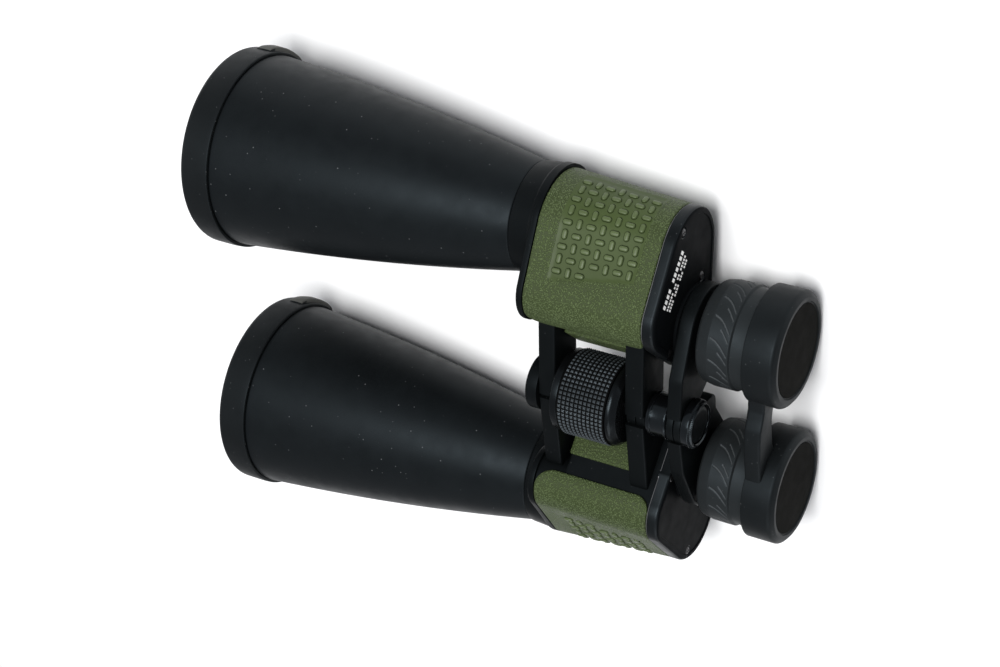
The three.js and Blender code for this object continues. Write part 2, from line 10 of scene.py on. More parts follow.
import bmesh
import bpy
import numpy as np
from mathutils import Matrix, Vector


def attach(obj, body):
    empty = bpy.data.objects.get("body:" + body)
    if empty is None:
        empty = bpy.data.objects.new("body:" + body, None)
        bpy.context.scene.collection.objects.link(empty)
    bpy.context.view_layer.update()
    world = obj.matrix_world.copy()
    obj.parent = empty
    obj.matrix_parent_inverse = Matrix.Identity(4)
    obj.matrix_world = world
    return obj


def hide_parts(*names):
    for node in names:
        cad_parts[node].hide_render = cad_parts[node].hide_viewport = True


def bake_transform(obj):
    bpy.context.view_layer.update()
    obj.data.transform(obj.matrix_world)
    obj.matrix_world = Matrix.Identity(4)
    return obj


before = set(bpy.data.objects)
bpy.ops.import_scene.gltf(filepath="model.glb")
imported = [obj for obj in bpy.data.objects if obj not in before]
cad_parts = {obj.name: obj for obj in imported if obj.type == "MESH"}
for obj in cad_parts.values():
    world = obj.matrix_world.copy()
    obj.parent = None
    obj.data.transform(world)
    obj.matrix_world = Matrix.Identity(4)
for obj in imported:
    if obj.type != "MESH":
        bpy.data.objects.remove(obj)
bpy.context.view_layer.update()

# ---------- dimensions, in millimetres

ORIGIN = (0.0, -137.3, 67.1)  # the design frame's origin in the row frame
MM = 0.001
SIDES = {"right": 1, "left": -1}

# Axes that run along Y, as (x, z)
OBJECTIVE = (66.8, -22.4)
EYEPIECE = (35.0, -19.8)
HINGE = (0.0, 0.0)
GAP = 0.3  # clearance between neighbours

# The housing's outline is the hull of three circles (x, z, r), and the outer one widens forward
EYE_CORNER = (35.0, -19.8, 19.0)
RIDGE = (49.3, 1.6, 14.3)
OUTER_XZ = (66.3, -21.2)
OUTER_R_REAR, OUTER_R_FRONT = 21.3, 25.2
COVER_REAR, COVER_FRONT = 47.4, 53.0
HUMP_FRONT = 95.4
ARMOUR_FRONT = 107.5
HOUSING_FRONT = 111.0
SNOUT_FRONT = 121.0
ARMOUR_T = 1.2
SKIN = 1.5
WALL = 2.2

# Rear and front of each pair of arms along Y
BRIDGE = (39.2, 45.6)
REAR_ARM = (56.2, 64.7)
FRONT_ARM = (97.6, 105.5)
HINGE_R = 10.0
# Each lapped pair: knuckle radius, how far from the hinge plane the arms start above and below the
# hinge, and the angles in degrees the left and right arms leave free below it for folding
BRIDGE_LAP = (HINGE_R, 6.0, 0.3, 0.0, 31.0)
REAR_LAP = (8.2, 2.6, 2.6, 15.5, 15.5)
FRONT_LAP = (8.2, 1.0, 1.0, 15.5, 15.5)
# Outlines of the arms, as hulls of circles (x, z, r)
ARM_CIRCLES = [(0, 0, 10), (34.3, 1.6, 5.8), (37, -8, 4)]
BRIDGE_CIRCLES = [(0, 0, 10), (0, -7.5, 10.6), (20, -4, 11), EYEPIECE + (18.9,)]
LUG_CIRCLES = [(4.5, -21.0, 4.4), (20, -21.0, 4.4)]  # flat lug of the left arm, below the hinge

WHEEL_RIM_R = 18.0
WHEEL_REAR, WHEEL_FRONT = 66.0, 96.8
GRIP_SEAT_R = 16.3
GRIP_REAR, GRIP_FRONT = 70.3, 92.7
KNURL_BASE_R = 18.05
KNURL_RISE = 0.95
KNURLS_AROUND = 58
KNURL_ROWS = 11
BOSS_R = 12.0
BOSS_FRONT = 111.3
TRIPOD_CAP_R = 6.4

GROOVE = 260.0
GROOVE_R = 43.2
TAPER_SMALL_R = 23.7
TAPER_BULGE = 8.1
LENS_BORE_R = 40.7
LENS_R = 35.7
CAP_REAR = 260.1
CAP_FRONT = 275.0
CAP_R = 44.7
LIP = (262.0, 270.0)
LIP_HALF_ARC = 16.0
SNOUT_R = 25.4
SNOUT_BORE_R = 20.8

COVER_BOSS_R = 17.5
SCREW_PLACES = ((81.8, -13.8), (52.4, -30.0), (32.0, 0.0))

# The smooth field of the upper armour, by arc length s and by y, and its raised dashes
FIELD_Y = (60.4, 98.0)
FIELD_TOP = 76.5
FIELD_SINK = 0.35
DASH_COLUMNS = [94.7 - 5.25 * k for k in range(7)]
DASH_ROWS = [30.5 + 5.07 * k for k in range(9)]
DASH_HALF_LONG, DASH_HALF_WIDE = 2.0, 1.05
# Share of the dash's half width, and height over the field, ring by ring from the foot up
DASH_RINGS = ((1.0, -0.35), (1.0, 0.30), (0.92, 0.55), (0.72, 0.72), (0.35, 0.80))
# Ring of painted shadow round each dash's foot: share of the half width, and height over the field
DASH_SHADOW_RINGS = ((1.32, -0.35), (1.32, 0.05))

CUP_BAND_R = 22.5
CUP_PROFILE = [
    (18.9, 2.4), (20.4, 2.4, 0.5), (21.3, 3.2, 0.6), (21.6, 14.3), (21.6, 20.6, 0.4),
    (CUP_BAND_R, 21.3, 0.4), (CUP_BAND_R, 30.6, 0.8), (21.6, 35.2, 0.8), (20.8, 36.1, 0.4), (17.5, 36.1),
    (17.5, 14.4), (18.9, 14.4),
]
GRIP_BAND = (22.0, 30.0)
SLASHES = 15
SLASH_DEPTH = 0.32
SLASH_HALF_WIDTH = 0.45

GUARD_FRONT = 14.3
GUARD_R = 25.0
GUARD_BORE_R = 21.95
GUARD_DISC_R = 19.9
# Height of the strap's top along x, and of its lower edge at the same places
STRAP_X = (-34.0, -30.0, -23.0, -16.0, -8.0, 0.0, 5.0, 9.0, 13.0, 17.0, 23.0, 30.0, 34.0)
STRAP_TOP = (4.4, 2.6, 0.7, 1.2, 1.9, 2.0, 1.3, -0.6, -2.0, -1.9, 0.2, 2.6, 4.4)
STRAP_LOW = (-19.8, -19.8, -19.5, -14.5, -11.2, -10.2, -10.4, -11.0, -12.6, -14.8, -19.5, -19.8, -19.8)
STRAP_REAR = 6.7


# ---------- shapes: (vertices, faces)

def rounded(points, steps=5, closed=False):
    """A polyline of (u, v) or (u, v, fillet radius) points with its corners rounded."""
    count = len(points)
    result = []
    for i, point in enumerate(points):
        corner = Vector(point[:2])
        radius = point[2] if len(point) > 2 else 0.0
        at_end = not closed and i in (0, count - 1)
        if radius <= 0 or at_end:
            result.append(tuple(corner))
            continue
        before = Vector(points[i - 1][:2]) - corner
        after = Vector(points[(i + 1) % count][:2]) - corner
        angle = before.angle(after)
        reach = min(radius / math.tan(angle / 2), 0.49 * before.length, 0.49 * after.length)
        radius = reach * math.tan(angle / 2)
        middle = (before.normalized() + after.normalized()).normalized()
        centre = corner + middle * (radius / math.sin(angle / 2))
        start = corner + before.normalized() * reach - centre
        end = corner + after.normalized() * reach - centre
        sweep = start.angle_signed(end)
        for k in range(steps + 1):
            turn = -sweep * k / steps
            c, s = math.cos(turn), math.sin(turn)
            spot = centre + Vector((c * start.x - s * start.y, s * start.x + c * start.y))
            result.append(tuple(spot))
    return result


def lathe(profile, axis, segments):
    """Turns a profile of (radius, y) about axis. A profile clear of the axis closes on itself."""
    x0, z0 = axis
    verts, rings = [], []
    for radius, y in profile:
        if radius < 1e-6:
            rings.append([len(verts)] * segments)
            verts.append((x0, y, z0))
            continue
        rings.append(list(range(len(verts), len(verts) + segments)))
        for k in range(segments):
            angle = 2 * math.pi * k / segments
            verts.append((x0 + radius * math.cos(angle), y, z0 + radius * math.sin(angle)))
    pairs = list(zip(rings, rings[1:]))
    if profile[0][0] > 1e-6 and profile[-1][0] > 1e-6:
        pairs.append((rings[-1], rings[0]))
    faces = []
    for low, high in pairs:
        for k in range(segments):
            following = (k + 1) % segments
            quad = (low[k], low[following], high[following], high[k])
            face = tuple(dict.fromkeys(quad))
            if len(face) > 2:
                faces.append(face)
    return verts, faces


def turned(profile, axis, segments, steps=5, closed=False):
    """Turns a profile whose points may carry fillet radii."""
    return lathe(rounded(profile, steps, closed), axis, segments)


def hull(circles, offset=0.0, reference=None, count=180):
    """Outline of the hull of circles (x, z, r), one point per direction."""
    reference = reference or circles
    outline = []
    for i in range(count):
        angle = 2 * math.pi * i / count
        nx, nz = math.cos(angle), math.sin(angle)
        reach = [c[0] * nx + c[1] * nz + c[2] for c in reference]
        x, z, r = circles[reach.index(max(reach))]
        outline.append((x + (r + offset) * nx, z + (r + offset) * nz))
    return outline


def skinned(rings):
    """A closed solid through rings of (x, y, z) points, with its two ends filled."""
    count = len(rings[0])
    verts = [point for ring in rings for point in ring]
    faces = []
    for s in range(len(rings) - 1):
        for i in range(count):
            a = s * count + i
            b = s * count + (i + 1) % count
            faces.append((a, b, b + count, a + count))
    last = (len(rings) - 1) * count
    faces.append(tuple(range(count)))
    faces.append(tuple(range(last + count - 1, last - 1, -1)))
    return verts, faces


def loft(sections):
    """A closed solid through (outline, y) sections."""
    return skinned([[(x, y, z) for x, z in outline] for outline, y in sections])


def slab(circles, y0, y1, edge=0.8, steps=4):
    """A plate with the outline of a hull of circles and rounded edges."""
    turns = [math.pi / 2 * k / steps for k in range(steps + 1)]
    rim = [(edge * (1 - math.sin(turn)), edge * (1 - math.cos(turn))) for turn in turns]
    sections = [(hull(circles, -inset), y0 + rise) for inset, rise in rim]
    sections += [(hull(circles, -inset), y1 - rise) for inset, rise in reversed(rim)]
    return loft(sections)


def prism(points, y0, y1):
    """A straight-sided solid over an outline of (x, z) points."""
    return loft([(points, y0), (points, y1)])


def cylinder(radius, y0, y1, axis=HINGE, segments=96):
    return lathe([(0, y0), (radius, y0), (radius, y1), (0, y1)], axis, segments)


def join(*shapes):
    verts, faces = [], []
    for shape_verts, shape_faces in shapes:
        start = len(verts)
        verts.extend(shape_verts)
        faces.extend(tuple(i + start for i in face) for face in shape_faces)
    return verts, faces


def linked_object(name, data):
    obj = bpy.data.objects.new(name, data)
    bpy.context.scene.collection.objects.link(obj)
    return obj


def outward_mesh(name, verts, faces, welded=False):
    """A mesh whose faces point out, welded and with its large faces cut up for a boolean."""
    mesh = bpy.data.meshes.new(name)
    mesh.from_pydata(verts, [], faces)
    bm = bmesh.new()
    bm.from_mesh(mesh)
    if welded:
        bmesh.ops.remove_doubles(bm, verts=bm.verts, dist=1e-5)
    bmesh.ops.recalc_face_normals(bm, faces=bm.faces)
    if welded:
        bmesh.ops.triangulate(bm, faces=[f for f in bm.faces if len(f.verts) > 4])
    bm.to_mesh(mesh)
    bm.free()
    return mesh


def scratch_object(shape):
    """A linked object for a boolean."""
    return linked_object("scratch", outward_mesh("scratch", *shape, welded=True))


def combined(shape, *steps):
    """A shape after a list of (operation, shape) booleans."""
    body = scratch_object(shape)
    used = [body]
    for operation, other in steps:
        cutter = scratch_object(other)
        used.append(cutter)
        modifier = body.modifiers.new(operation, "BOOLEAN")
        modifier.operation = operation
        modifier.solver = "MANIFOLD"
        modifier.object = cutter
    graph = bpy.context.evaluated_depsgraph_get()
    mesh = bpy.data.meshes.new_from_object(body.evaluated_get(graph))
    verts = [tuple(v.co) for v in mesh.vertices]
    faces = [tuple(p.vertices) for p in mesh.polygons]
    bpy.data.meshes.remove(mesh)
    for obj in used:
        data = obj.data
        bpy.data.objects.remove(obj)
        bpy.data.meshes.remove(data)
    return verts, faces


def to_design(point, side):
    """Coordinates, in the design frame of one side, of a point of the row frame."""
    x, y, z = point
    return (x / MM - ORIGIN[0]) * side, y / MM - ORIGIN[1], z / MM - ORIGIN[2]


def cut(*shapes):
    """Boolean steps that take shapes away."""
    return [("DIFFERENCE", shape) for shape in shapes]


def from_axis(axis, x, z):
    return math.hypot(x - axis[0], z - axis[1])


def make(name, shape, material, body, nodes=(), slot=None, side=1, sharp=35, pick=None):
    """Puts a shape into the scene as a finished piece riding on a CAD body.

    pick(x, y, z), on a face's middle in the design frame, gives the material's place in the list.
    """
    materials = material if isinstance(material, list) else [material]
    verts, faces = shape
    placed = [((x * side + ORIGIN[0]) * MM, (y + ORIGIN[1]) * MM, (z + ORIGIN[2]) * MM)
              for x, y, z in verts]
    mesh = outward_mesh(name, placed, faces)
    mesh.polygons.foreach_set("use_smooth", [True] * len(mesh.polygons))
    mesh.set_sharp_from_angle(angle=math.radians(sharp))
    for each in materials:
        mesh.materials.append(each)
    if pick:
        for polygon in mesh.polygons:
            polygon.material_index = pick(*to_design(polygon.center, side))
    obj = linked_object(name, mesh)
    if body:
        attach(obj, body)
    if nodes:
        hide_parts(*nodes)
    return obj


# ---------- materials

DUST_COLOR = (0.32, 0.33, 0.34, 1.0)


class Graph:
    """The node tree of one material, with the few kinds of node that the finishes need."""

    def __init__(self, material, stretch):
        self.nodes = material.node_tree.nodes
        self.links = material.node_tree.links
        self.nodes.clear()
        self.place = self.nodes.new("ShaderNodeTexCoord").outputs["Object"]
        self.stretched = self.add("Mapping", {"Scale": stretch, "Vector": self.place}).outputs["Vector"]

    def add(self, kind, inputs):
        """A new node. An input's value is a plain one, or another node's output to link to it."""
        node = self.nodes.new("ShaderNode" + kind)
        self.feed(node, inputs)
        return node

    def feed(self, node, inputs):
        for key, value in inputs.items():
            if isinstance(value, bpy.types.NodeSocket):
                self.links.new(value, node.inputs[key])
            else:
                node.inputs[key].default_value = value

    def noise(self, scale, detail, vector):
        return self.add("TexNoise", {"Scale": scale, "Detail": detail, "Vector": vector}).outputs["Fac"]

    def cells(self, scale):
        return self.add("TexVoronoi", {"Scale": scale, "Vector": self.place}).outputs

    def ranged(self, value, low, high, from_low=0.3, from_high=0.7):
        return self.add("MapRange", {"Value": value, "From Min": from_low, "From Max": from_high,
                                     "To Min": low, "To Max": high}).outputs["Result"]

    def maths(self, operation, first, second):
        node = self.add("Math", {0: first, 1: second})
        node.operation = operation
        return node.outputs[0]

    def mixed(self, factor, first, second):
        node = self.nodes.new("ShaderNodeMix")
        node.data_type = "RGBA"
        first_color, second_color, color_result = 6, 7, 2  # the sockets that a colour mix uses
        self.feed(node, {"Factor": factor, first_color: first, second_color: second})
        return node.outputs[color_result]


def shade(color, factor, lift=0.0):
    """A colour made darker or lighter, with its alpha."""
    return tuple(min(1.0, c * factor + lift) for c in color) + (1.0,)


def dusted(graph, tone, dust, scale):
    """Pale specks at the middles of a chosen few cells."""
    cells = graph.cells(scale)
    near = graph.ranged(cells["Distance"], 1.0, 0.0, 0.02, 0.16)
    chosen = graph.ranged(cells["Color"], 0.0, 1.0, 0.74, 0.82)
    weight = graph.maths("MULTIPLY", graph.maths("MULTIPLY", near, chosen), dust)
    return graph.mixed(weight, tone, DUST_COLOR)


def leather_pebbles(graph, scale):
    """Height of a leather grain, from 0 in its creases to 1 on its crests."""
    crumbs = graph.noise(scale * 1.3, 4.0, graph.place)
    uneven = graph.maths("SUBTRACT", crumbs, graph.cells(scale)["Distance"])
    return graph.ranged(uneven, 0.0, 1.0, -0.10, 0.38)


def leather_painted_shade_and_highlight(graph, tone, color, pebbles):
    """Paints shade into the creases of a leather grain and highlights onto its crests."""
    # Painted shade in the creases, then painted highlight on the crests
    shaded_creases = graph.mixed(graph.ranged(pebbles, 0.0, 1.0, 0.0, 0.3), shade(color, 0.72), tone)
    return graph.mixed(pebbles, shaded_creases, shade(color, 1.9, 0.016))


def surface(name, color, roughness, metallic=0.0, mottle=0.12, mottle_scale=60.0, rough_spread=0.06,
            leather=False, grain_scale=1500.0, grain_depth=0.00004, grain_strength=0.4,
            dust=0.0, dust_scale=420.0, stretch=(1, 1, 1), transmission=0.0, ior=1.5, specular=0.5,
            tint=(1, 1, 1)):
    """A finish with colour variation, uneven gloss, a fine relief and, if asked, specks of dust, or a
    leather grain with shade painted into its creases and highlights painted onto its crests.
    """
    material = bpy.data.materials.new(name)
    material.use_nodes = True
    graph = Graph(material, stretch)
    patches = graph.noise(mottle_scale, 3.0, graph.stretched)
    tone = graph.mixed(graph.ranged(patches, 0.0, 1.0), shade(color, 1 - mottle), shade(color, 1 + mottle))
    smears = graph.noise(mottle_scale * 2.3, 5.0, graph.stretched)
    gloss = graph.ranged(smears, roughness - rough_spread, roughness + rough_spread)
    if dust > 0:
        tone = dusted(graph, tone, dust, dust_scale)
    if leather:
        relief = leather_pebbles(graph, grain_scale)
        # the leather grain's tone carries painted shade in its creases and painted highlights on its crests
        tone = leather_painted_shade_and_highlight(graph, tone, color, relief)
    else:
        relief = graph.noise(grain_scale, 6.0, graph.stretched)
    bump = graph.add("Bump", {"Strength": grain_strength, "Distance": grain_depth, "Height": relief})
    shader = graph.add("BsdfPrincipled", {
        "Base Color": tone, "Roughness": gloss, "Normal": bump.outputs["Normal"], "Metallic": metallic,
        "IOR": ior, "Specular IOR Level": specular, "Specular Tint": tuple(tint) + (1.0,),
        "Transmission Weight": transmission})
    graph.add("OutputMaterial", {"Surface": shader.outputs["BSDF"]})
    return material


COOL = (0.74, 0.90, 1.0)  # tint of the reflections on the black pieces
BLACK = (0.0036, 0.0044, 0.0049)
GREEN = (0.036, 0.052, 0.0160)

# Reliefs that several finishes share
PLASTIC = dict(grain_scale=2200, grain_depth=0.00004, grain_strength=0.45, dust_scale=520, tint=COOL)
RUBBER = dict(grain_scale=2600, grain_depth=0.00006, grain_strength=0.5, dust_scale=520, tint=COOL)
KNURL = dict(grain_scale=2600, grain_depth=0.00003, grain_strength=0.3)
SMOOTH_GREEN = dict(mottle=0.08, mottle_scale=45, grain_scale=1400, grain_depth=0.00004, grain_strength=0.3)

enamel = surface("black_enamel", BLACK, 0.44, mottle=0.10, rough_spread=0.05, grain_scale=1600,
                 grain_depth=0.00003, grain_strength=0.35, dust=0.30, specular=0.11, tint=COOL)
arm_enamel = surface("arm_enamel", (0.0024, 0.0029, 0.0031), 0.42, mottle=0.10, grain_scale=1200,
                     grain_depth=0.00003, grain_strength=0.3, dust=0.12, dust_scale=600,
                     specular=0.06, tint=COOL)
plastic = surface("black_plastic", (0.0030, 0.0035, 0.0038), 0.38, dust=0.15, specular=0.13, **PLASTIC)
cover_face = surface("cover_face", (0.0026, 0.0030, 0.0034), 0.50, dust=0.10, specular=0.015, **PLASTIC)
gloss_black = surface("gloss_black", (0.0018, 0.0020, 0.0023), 0.17, mottle=0.05, rough_spread=0.04,
                      grain_scale=500, grain_depth=0.00001, grain_strength=0.15, specular=0.34,
                      tint=COOL)
satin_black = surface("satin_black", (0.0022, 0.0024, 0.0026), 0.26, mottle=0.08, grain_scale=1500,
                      grain_depth=0.00002, grain_strength=0.2, specular=0.16, tint=COOL)
rubber = surface("black_rubber", (0.0040, 0.0046, 0.0049), 0.50, dust=0.20, specular=0.11, **RUBBER)
cup_rubber = surface("cup_rubber", (0.0085, 0.0096, 0.0100), 0.52, dust=0.12, specular=0.16, **RUBBER)
# Lighter rubber in the eyecup's grooves: painted highlight
slash_painted_highlight = surface("slash_painted_highlight", (0.034, 0.037, 0.038), 0.60, grain_scale=2600,
                      grain_depth=0.00004, grain_strength=0.4, specular=0.25, tint=COOL)
lip_rubber = surface("lip_rubber", (0.050, 0.051, 0.046), 0.60, grain_scale=1800,
                     grain_depth=0.00005, grain_strength=0.4, specular=0.3)
matt_disc = surface("guard_disc", (0.0050, 0.0050, 0.0044), 0.72, grain_scale=3200,
                    grain_depth=0.00008, grain_strength=0.7, dust=0.12, dust_scale=520, specular=0.015)
# Knurl rubber: lighter on the pyramids as painted highlight, darker low between them as painted shade
knurl_painted_highlight = surface("knurl_painted_highlight", (0.021, 0.024, 0.026), 0.42, specular=0.5, tint=COOL, **KNURL)
knurl_painted_shade = surface("knurl_painted_shade", (0.0015, 0.0016, 0.0018), 0.70, specular=0.05, **KNURL)
# Leather grain whose creases carry painted shade and whose crests carry painted highlights
armour_grain = surface("green_armour", GREEN, 0.48, mottle=0.10, mottle_scale=45, leather=True,
                       grain_scale=1250, grain_depth=0.00045, grain_strength=1.0, specular=0.16)
armour_plain = surface("green_armour_plain", GREEN, 0.46, specular=0.16, **SMOOTH_GREEN)
# Dashes lighter than the armour: painted highlight
dash_painted_highlight = surface("green_armour_dash_painted_highlight", (0.052, 0.072, 0.026), 0.42, specular=0.30, **SMOOTH_GREEN)
# Dark green round the dashes' feet: painted shadow
dash_painted_shadow = surface("green_armour_painted_shadow", (0.013, 0.020, 0.006), 0.60, specular=0.05, **SMOOTH_GREEN)
screw_steel = surface("screw_steel", (0.06, 0.06, 0.062), 0.32, metallic=0.9, grain_scale=3000,
                      grain_depth=0.00003, grain_strength=0.3)
bare_steel = surface("ring_steel", (0.09, 0.09, 0.095), 0.35, metallic=0.9, grain_scale=900,
                     grain_depth=0.00003, grain_strength=0.3, stretch=(1, 6, 1))
# Bright metal along the rear cover's edge: painted highlight
edge_painted_highlight = surface("cover_edge_painted_highlight", (0.25, 0.25, 0.26), 0.34, metallic=0.6, mottle=0.3,
                     mottle_scale=160, grain_scale=900, grain_depth=0.00002, grain_strength=0.3)
print_white = surface("white_print", (0.72, 0.72, 0.71), 0.55, mottle=0.05, mottle_scale=300,
                      grain_scale=2400, grain_depth=0.00003, grain_strength=0.3)
optic_black = surface("optic_black", (0.003, 0.003, 0.003), 0.75, specular=0.1, grain_scale=2200,
                      grain_depth=0.00006, grain_strength=0.5)
glass = surface("coated_glass", (0.72, 0.88, 0.80), 0.03, mottle=0.03, mottle_scale=20,
                rough_spread=0.01, grain_scale=200, grain_depth=0.000002, grain_strength=0.05,
                transmission=1.0, ior=1.52)


# ---------- barrels and their optics

def taper(y):
    """Outer radius of the tapered barrel."""
    u = (y - GROOVE) / (GROOVE - SNOUT_FRONT)
    return GROOVE_R + (GROOVE_R - TAPER_SMALL_R - TAPER_BULGE) * u - TAPER_BULGE * u * u


def barrel():
    """Tapered tube with a plain bore for the lens cell in front and a neck for the snout behind."""
    outside = [(taper(y), y) for y in np.linspace(122.2, GROOVE - 0.6, 44)]
    inside = [(taper(y) - 1.9, y) for y in np.linspace(240, 123.4, 24)]
    neck = [(20.4, 114), (20.4, 121.4), (23.5, 121.4, 0.5), (taper(121.9), 121.9)]
    groove = [(taper(GROOVE - 0.4) - 0.25, GROOVE - 0.4), (42.6, GROOVE - 0.4, 0.1)]
    mouth = [(42.6, 270.5, 0.5), (LENS_BORE_R, 270.5, 0.4), (LENS_BORE_R, 240)]
    foot = [(18.5, 123.0), (18.5, 114)]
    return lathe(rounded(neck + outside + groove + mouth + inside + foot), OBJECTIVE, 192)


def lens(radius, rear, rear_sag, front, front_sag, axis, segments=96, rings=10):
    bow = [(1 - (i / rings) ** 2) for i in range(rings + 1)]
    back = [(radius * i / rings, rear + rear_sag * bow[i]) for i in range(rings + 1)]
    face = [(radius * i / rings, front + front_sag * bow[i]) for i in range(rings, -1, -1)]
    return lathe(back + face, axis, segments)


def cell_ring():
    """Ring that holds both lenses, with fine baffle grooves in front of them."""
    grooves = []
    for k in range(12):
        y = 263.2 - k * 0.65
        grooves += [(36.0, y), (36.35, y - 0.3)]
    front = [(40.4, 240.3), (40.4, 264), (36.4, 264)]
    seat = [(36.0, 243), (33.5, 243), (33.5, 240.3)]
    return lathe(front + grooves + seat, OBJECTIVE, 144)


def retaining_ring():
    """Threaded ring with two slots for a spanner."""
    x, z = OBJECTIVE
    half_slot = 0.7
    profile = [(33.2, 252), (LENS_R, 252), (LENS_R, 255, 0.2), (33.6, 255, 0.4)]
    slots = []
    for sign in (-1, 1):
        low, high = z + 40 * sign, z + 30 * sign
        corners = [(x - half_slot, low), (x + half_slot, low), (x + half_slot, high), (x - half_slot, high)]
        slots.append(prism(corners, 254, 256))
    return combined(turned(profile, OBJECTIVE, 144, closed=True), *cut(*slots))


def objective_cap():
    """Slip-over cap with a shallow step on its face."""
    return turned([
        (0, 273.2), (43.0, 273.2, 1.0), (43.0, CAP_REAR, 0.3), (CAP_R - 0.2, CAP_REAR, 0.5),
        (CAP_R, 263), (CAP_R, CAP_FRONT, 3.2), (38.5, CAP_FRONT, 0.3), (37.9, CAP_FRONT - 0.7, 0.3),
        (0, CAP_FRONT - 0.7)], OBJECTIVE, 192, steps=7)


def pull_lip(side):
    """Curved tab on the cap's rim, towards the same side on both caps."""
    centre = math.atan2(-0.617, 0.787 * side)
    half_angle = LIP_HALF_ARC / CAP_R
    rear, ahead = LIP
    foot = CAP_R - 1.0
    section = rounded([(foot, rear), (CAP_R + 1.8, rear, 0.6), (CAP_R + 2.0, rear + 4, 1.4),
                       (CAP_R + 1.4, ahead - 1, 1.2), (foot, ahead)], 4)
    columns = 40
    rings = []
    for i in range(columns + 1):
        t = -1 + 2 * i / columns
        fade = math.sqrt(max(0.0, 1 - t ** 6))
        angle = centre + half_angle * t
        reaches = [(foot + (r - foot) * fade, y) for r, y in section]
        rings.append([(OBJECTIVE[0] + reach * math.cos(angle), y, OBJECTIVE[1] + reach * math.sin(angle))
                      for reach, y in reaches])
    return skinned(rings)


def on_lip(x, y, z):
    """Picks the lip's rubber for the faces that stand out from the cap."""
    return 1 if from_axis(OBJECTIVE, x, z) > CAP_R + 0.05 else 0


# ---------- prism housing

def outer_circle(y):
    t = (y - COVER_FRONT) / (HOUSING_FRONT - COVER_FRONT)
    return OUTER_XZ + (OUTER_R_REAR + t * (OUTER_R_FRONT - OUTER_R_REAR),)


def full(y, offset=0.0):
    return hull([EYE_CORNER, RIDGE, outer_circle(y)], offset, [EYE_CORNER, RIDGE, outer_circle(80)])


def front(y, offset=0.0):
    return hull([RIDGE, outer_circle(y)], offset, [RIDGE, outer_circle(80)])


def swept(rule, path):
    """A solid through (offset, y) steps of an outline rule."""
    return loft([(rule(y, offset), y) for offset, y in path])


def lapped_arm(blank, span, lap, owns_front, bore_r):
    """One arm of a lapped hinge pair, with its knuckle and the cuts that let the pair fold."""
    y0, y1 = span
    knuckle_r, above, below, left_angle, right_angle = lap
    middle = (y0 + y1) / 2
    own = (middle + GAP / 2, y1) if owns_front else (y0, middle - GAP / 2)
    other = (y0 - 1, middle + GAP / 2) if owns_front else (middle - GAP / 2, y1 + 1)
    lean = math.tan(math.radians(right_angle if owns_front else left_angle))
    region = [(below, 0), (below + 60 * lean, -60), (120, -60), (120, 60), (above, 60), (above, 0)]
    low, high = own
    knuckle = turned([(0, low), (knuckle_r, low, 0.4), (knuckle_r, high, 0.4), (0, high)], HINGE, 96)
    return combined(
        blank,
        ("INTERSECT", prism(region, y0 - 2, y1 + 2)),
        ("DIFFERENCE", cylinder(knuckle_r + GAP + 0.1, other[0], other[1])),
        ("UNION", knuckle),
        ("DIFFERENCE", cylinder(bore_r, y0 - 3, y1 + 3)))


def housing(side):
    """Hollow prism box with its front flange, its snout and its two hinge arms."""
    inner = -SKIN - WALL
    rear = COVER_FRONT + GAP
    hump_edge = rounded([(-SKIN, rear), (-SKIN, HUMP_FRONT, 1.2), (-SKIN - 4, HUMP_FRONT)], 5)
    flange_edge = rounded([(-2, ARMOUR_FRONT + GAP), (0, ARMOUR_FRONT + GAP, 0.3),
                           (0, HOUSING_FRONT, 1.3), (-3, HOUSING_FRONT)], 5)
    snout_edge = rounded([(SNOUT_BORE_R, 107.8), (SNOUT_R, 107.8), (SNOUT_R, HOUSING_FRONT + 0.2, 1.0),
                          (24.9, 112.0, 1.2), (24.35, SNOUT_FRONT, 0.5), (SNOUT_BORE_R, SNOUT_FRONT, 0.2)],
                         4, closed=True)
    cavities = [
        swept(full, [(inner, COVER_FRONT - 2), (inner, HUMP_FRONT - WALL)]),
        swept(front, [(inner, COVER_FRONT - 2), (inner, HOUSING_FRONT - WALL - 1)]),
        cylinder(SNOUT_BORE_R, 90, SNOUT_FRONT + 2, OBJECTIVE, 160),
    ]
    shell = combined(
        swept(full, hump_edge),
        ("UNION", swept(front, [(-SKIN, rear), (-SKIN, ARMOUR_FRONT + GAP + 0.2)])),
        ("UNION", swept(front, flange_edge)),
        ("UNION", lathe(snout_edge, OBJECTIVE, 160)),
        *cut(*cavities))
    rooms = [  # the arms end inside the wall, short of the hollow
        swept(full, [(inner / 1.4, COVER_FRONT - 3), (inner / 1.4, HUMP_FRONT - WALL)]),
        swept(front, [(inner / 1.4, COVER_FRONT - 3), (inner / 1.4, HOUSING_FRONT - WALL - 1)]),
    ]
    for span, lap in ((REAR_ARM, REAR_LAP), (FRONT_ARM, FRONT_LAP)):
        arm = lapped_arm(slab(ARM_CIRCLES, *span), span, lap, side > 0, 5.3)
        shell = combined(shell, ("UNION", combined(arm, *cut(*rooms))))
    return shell


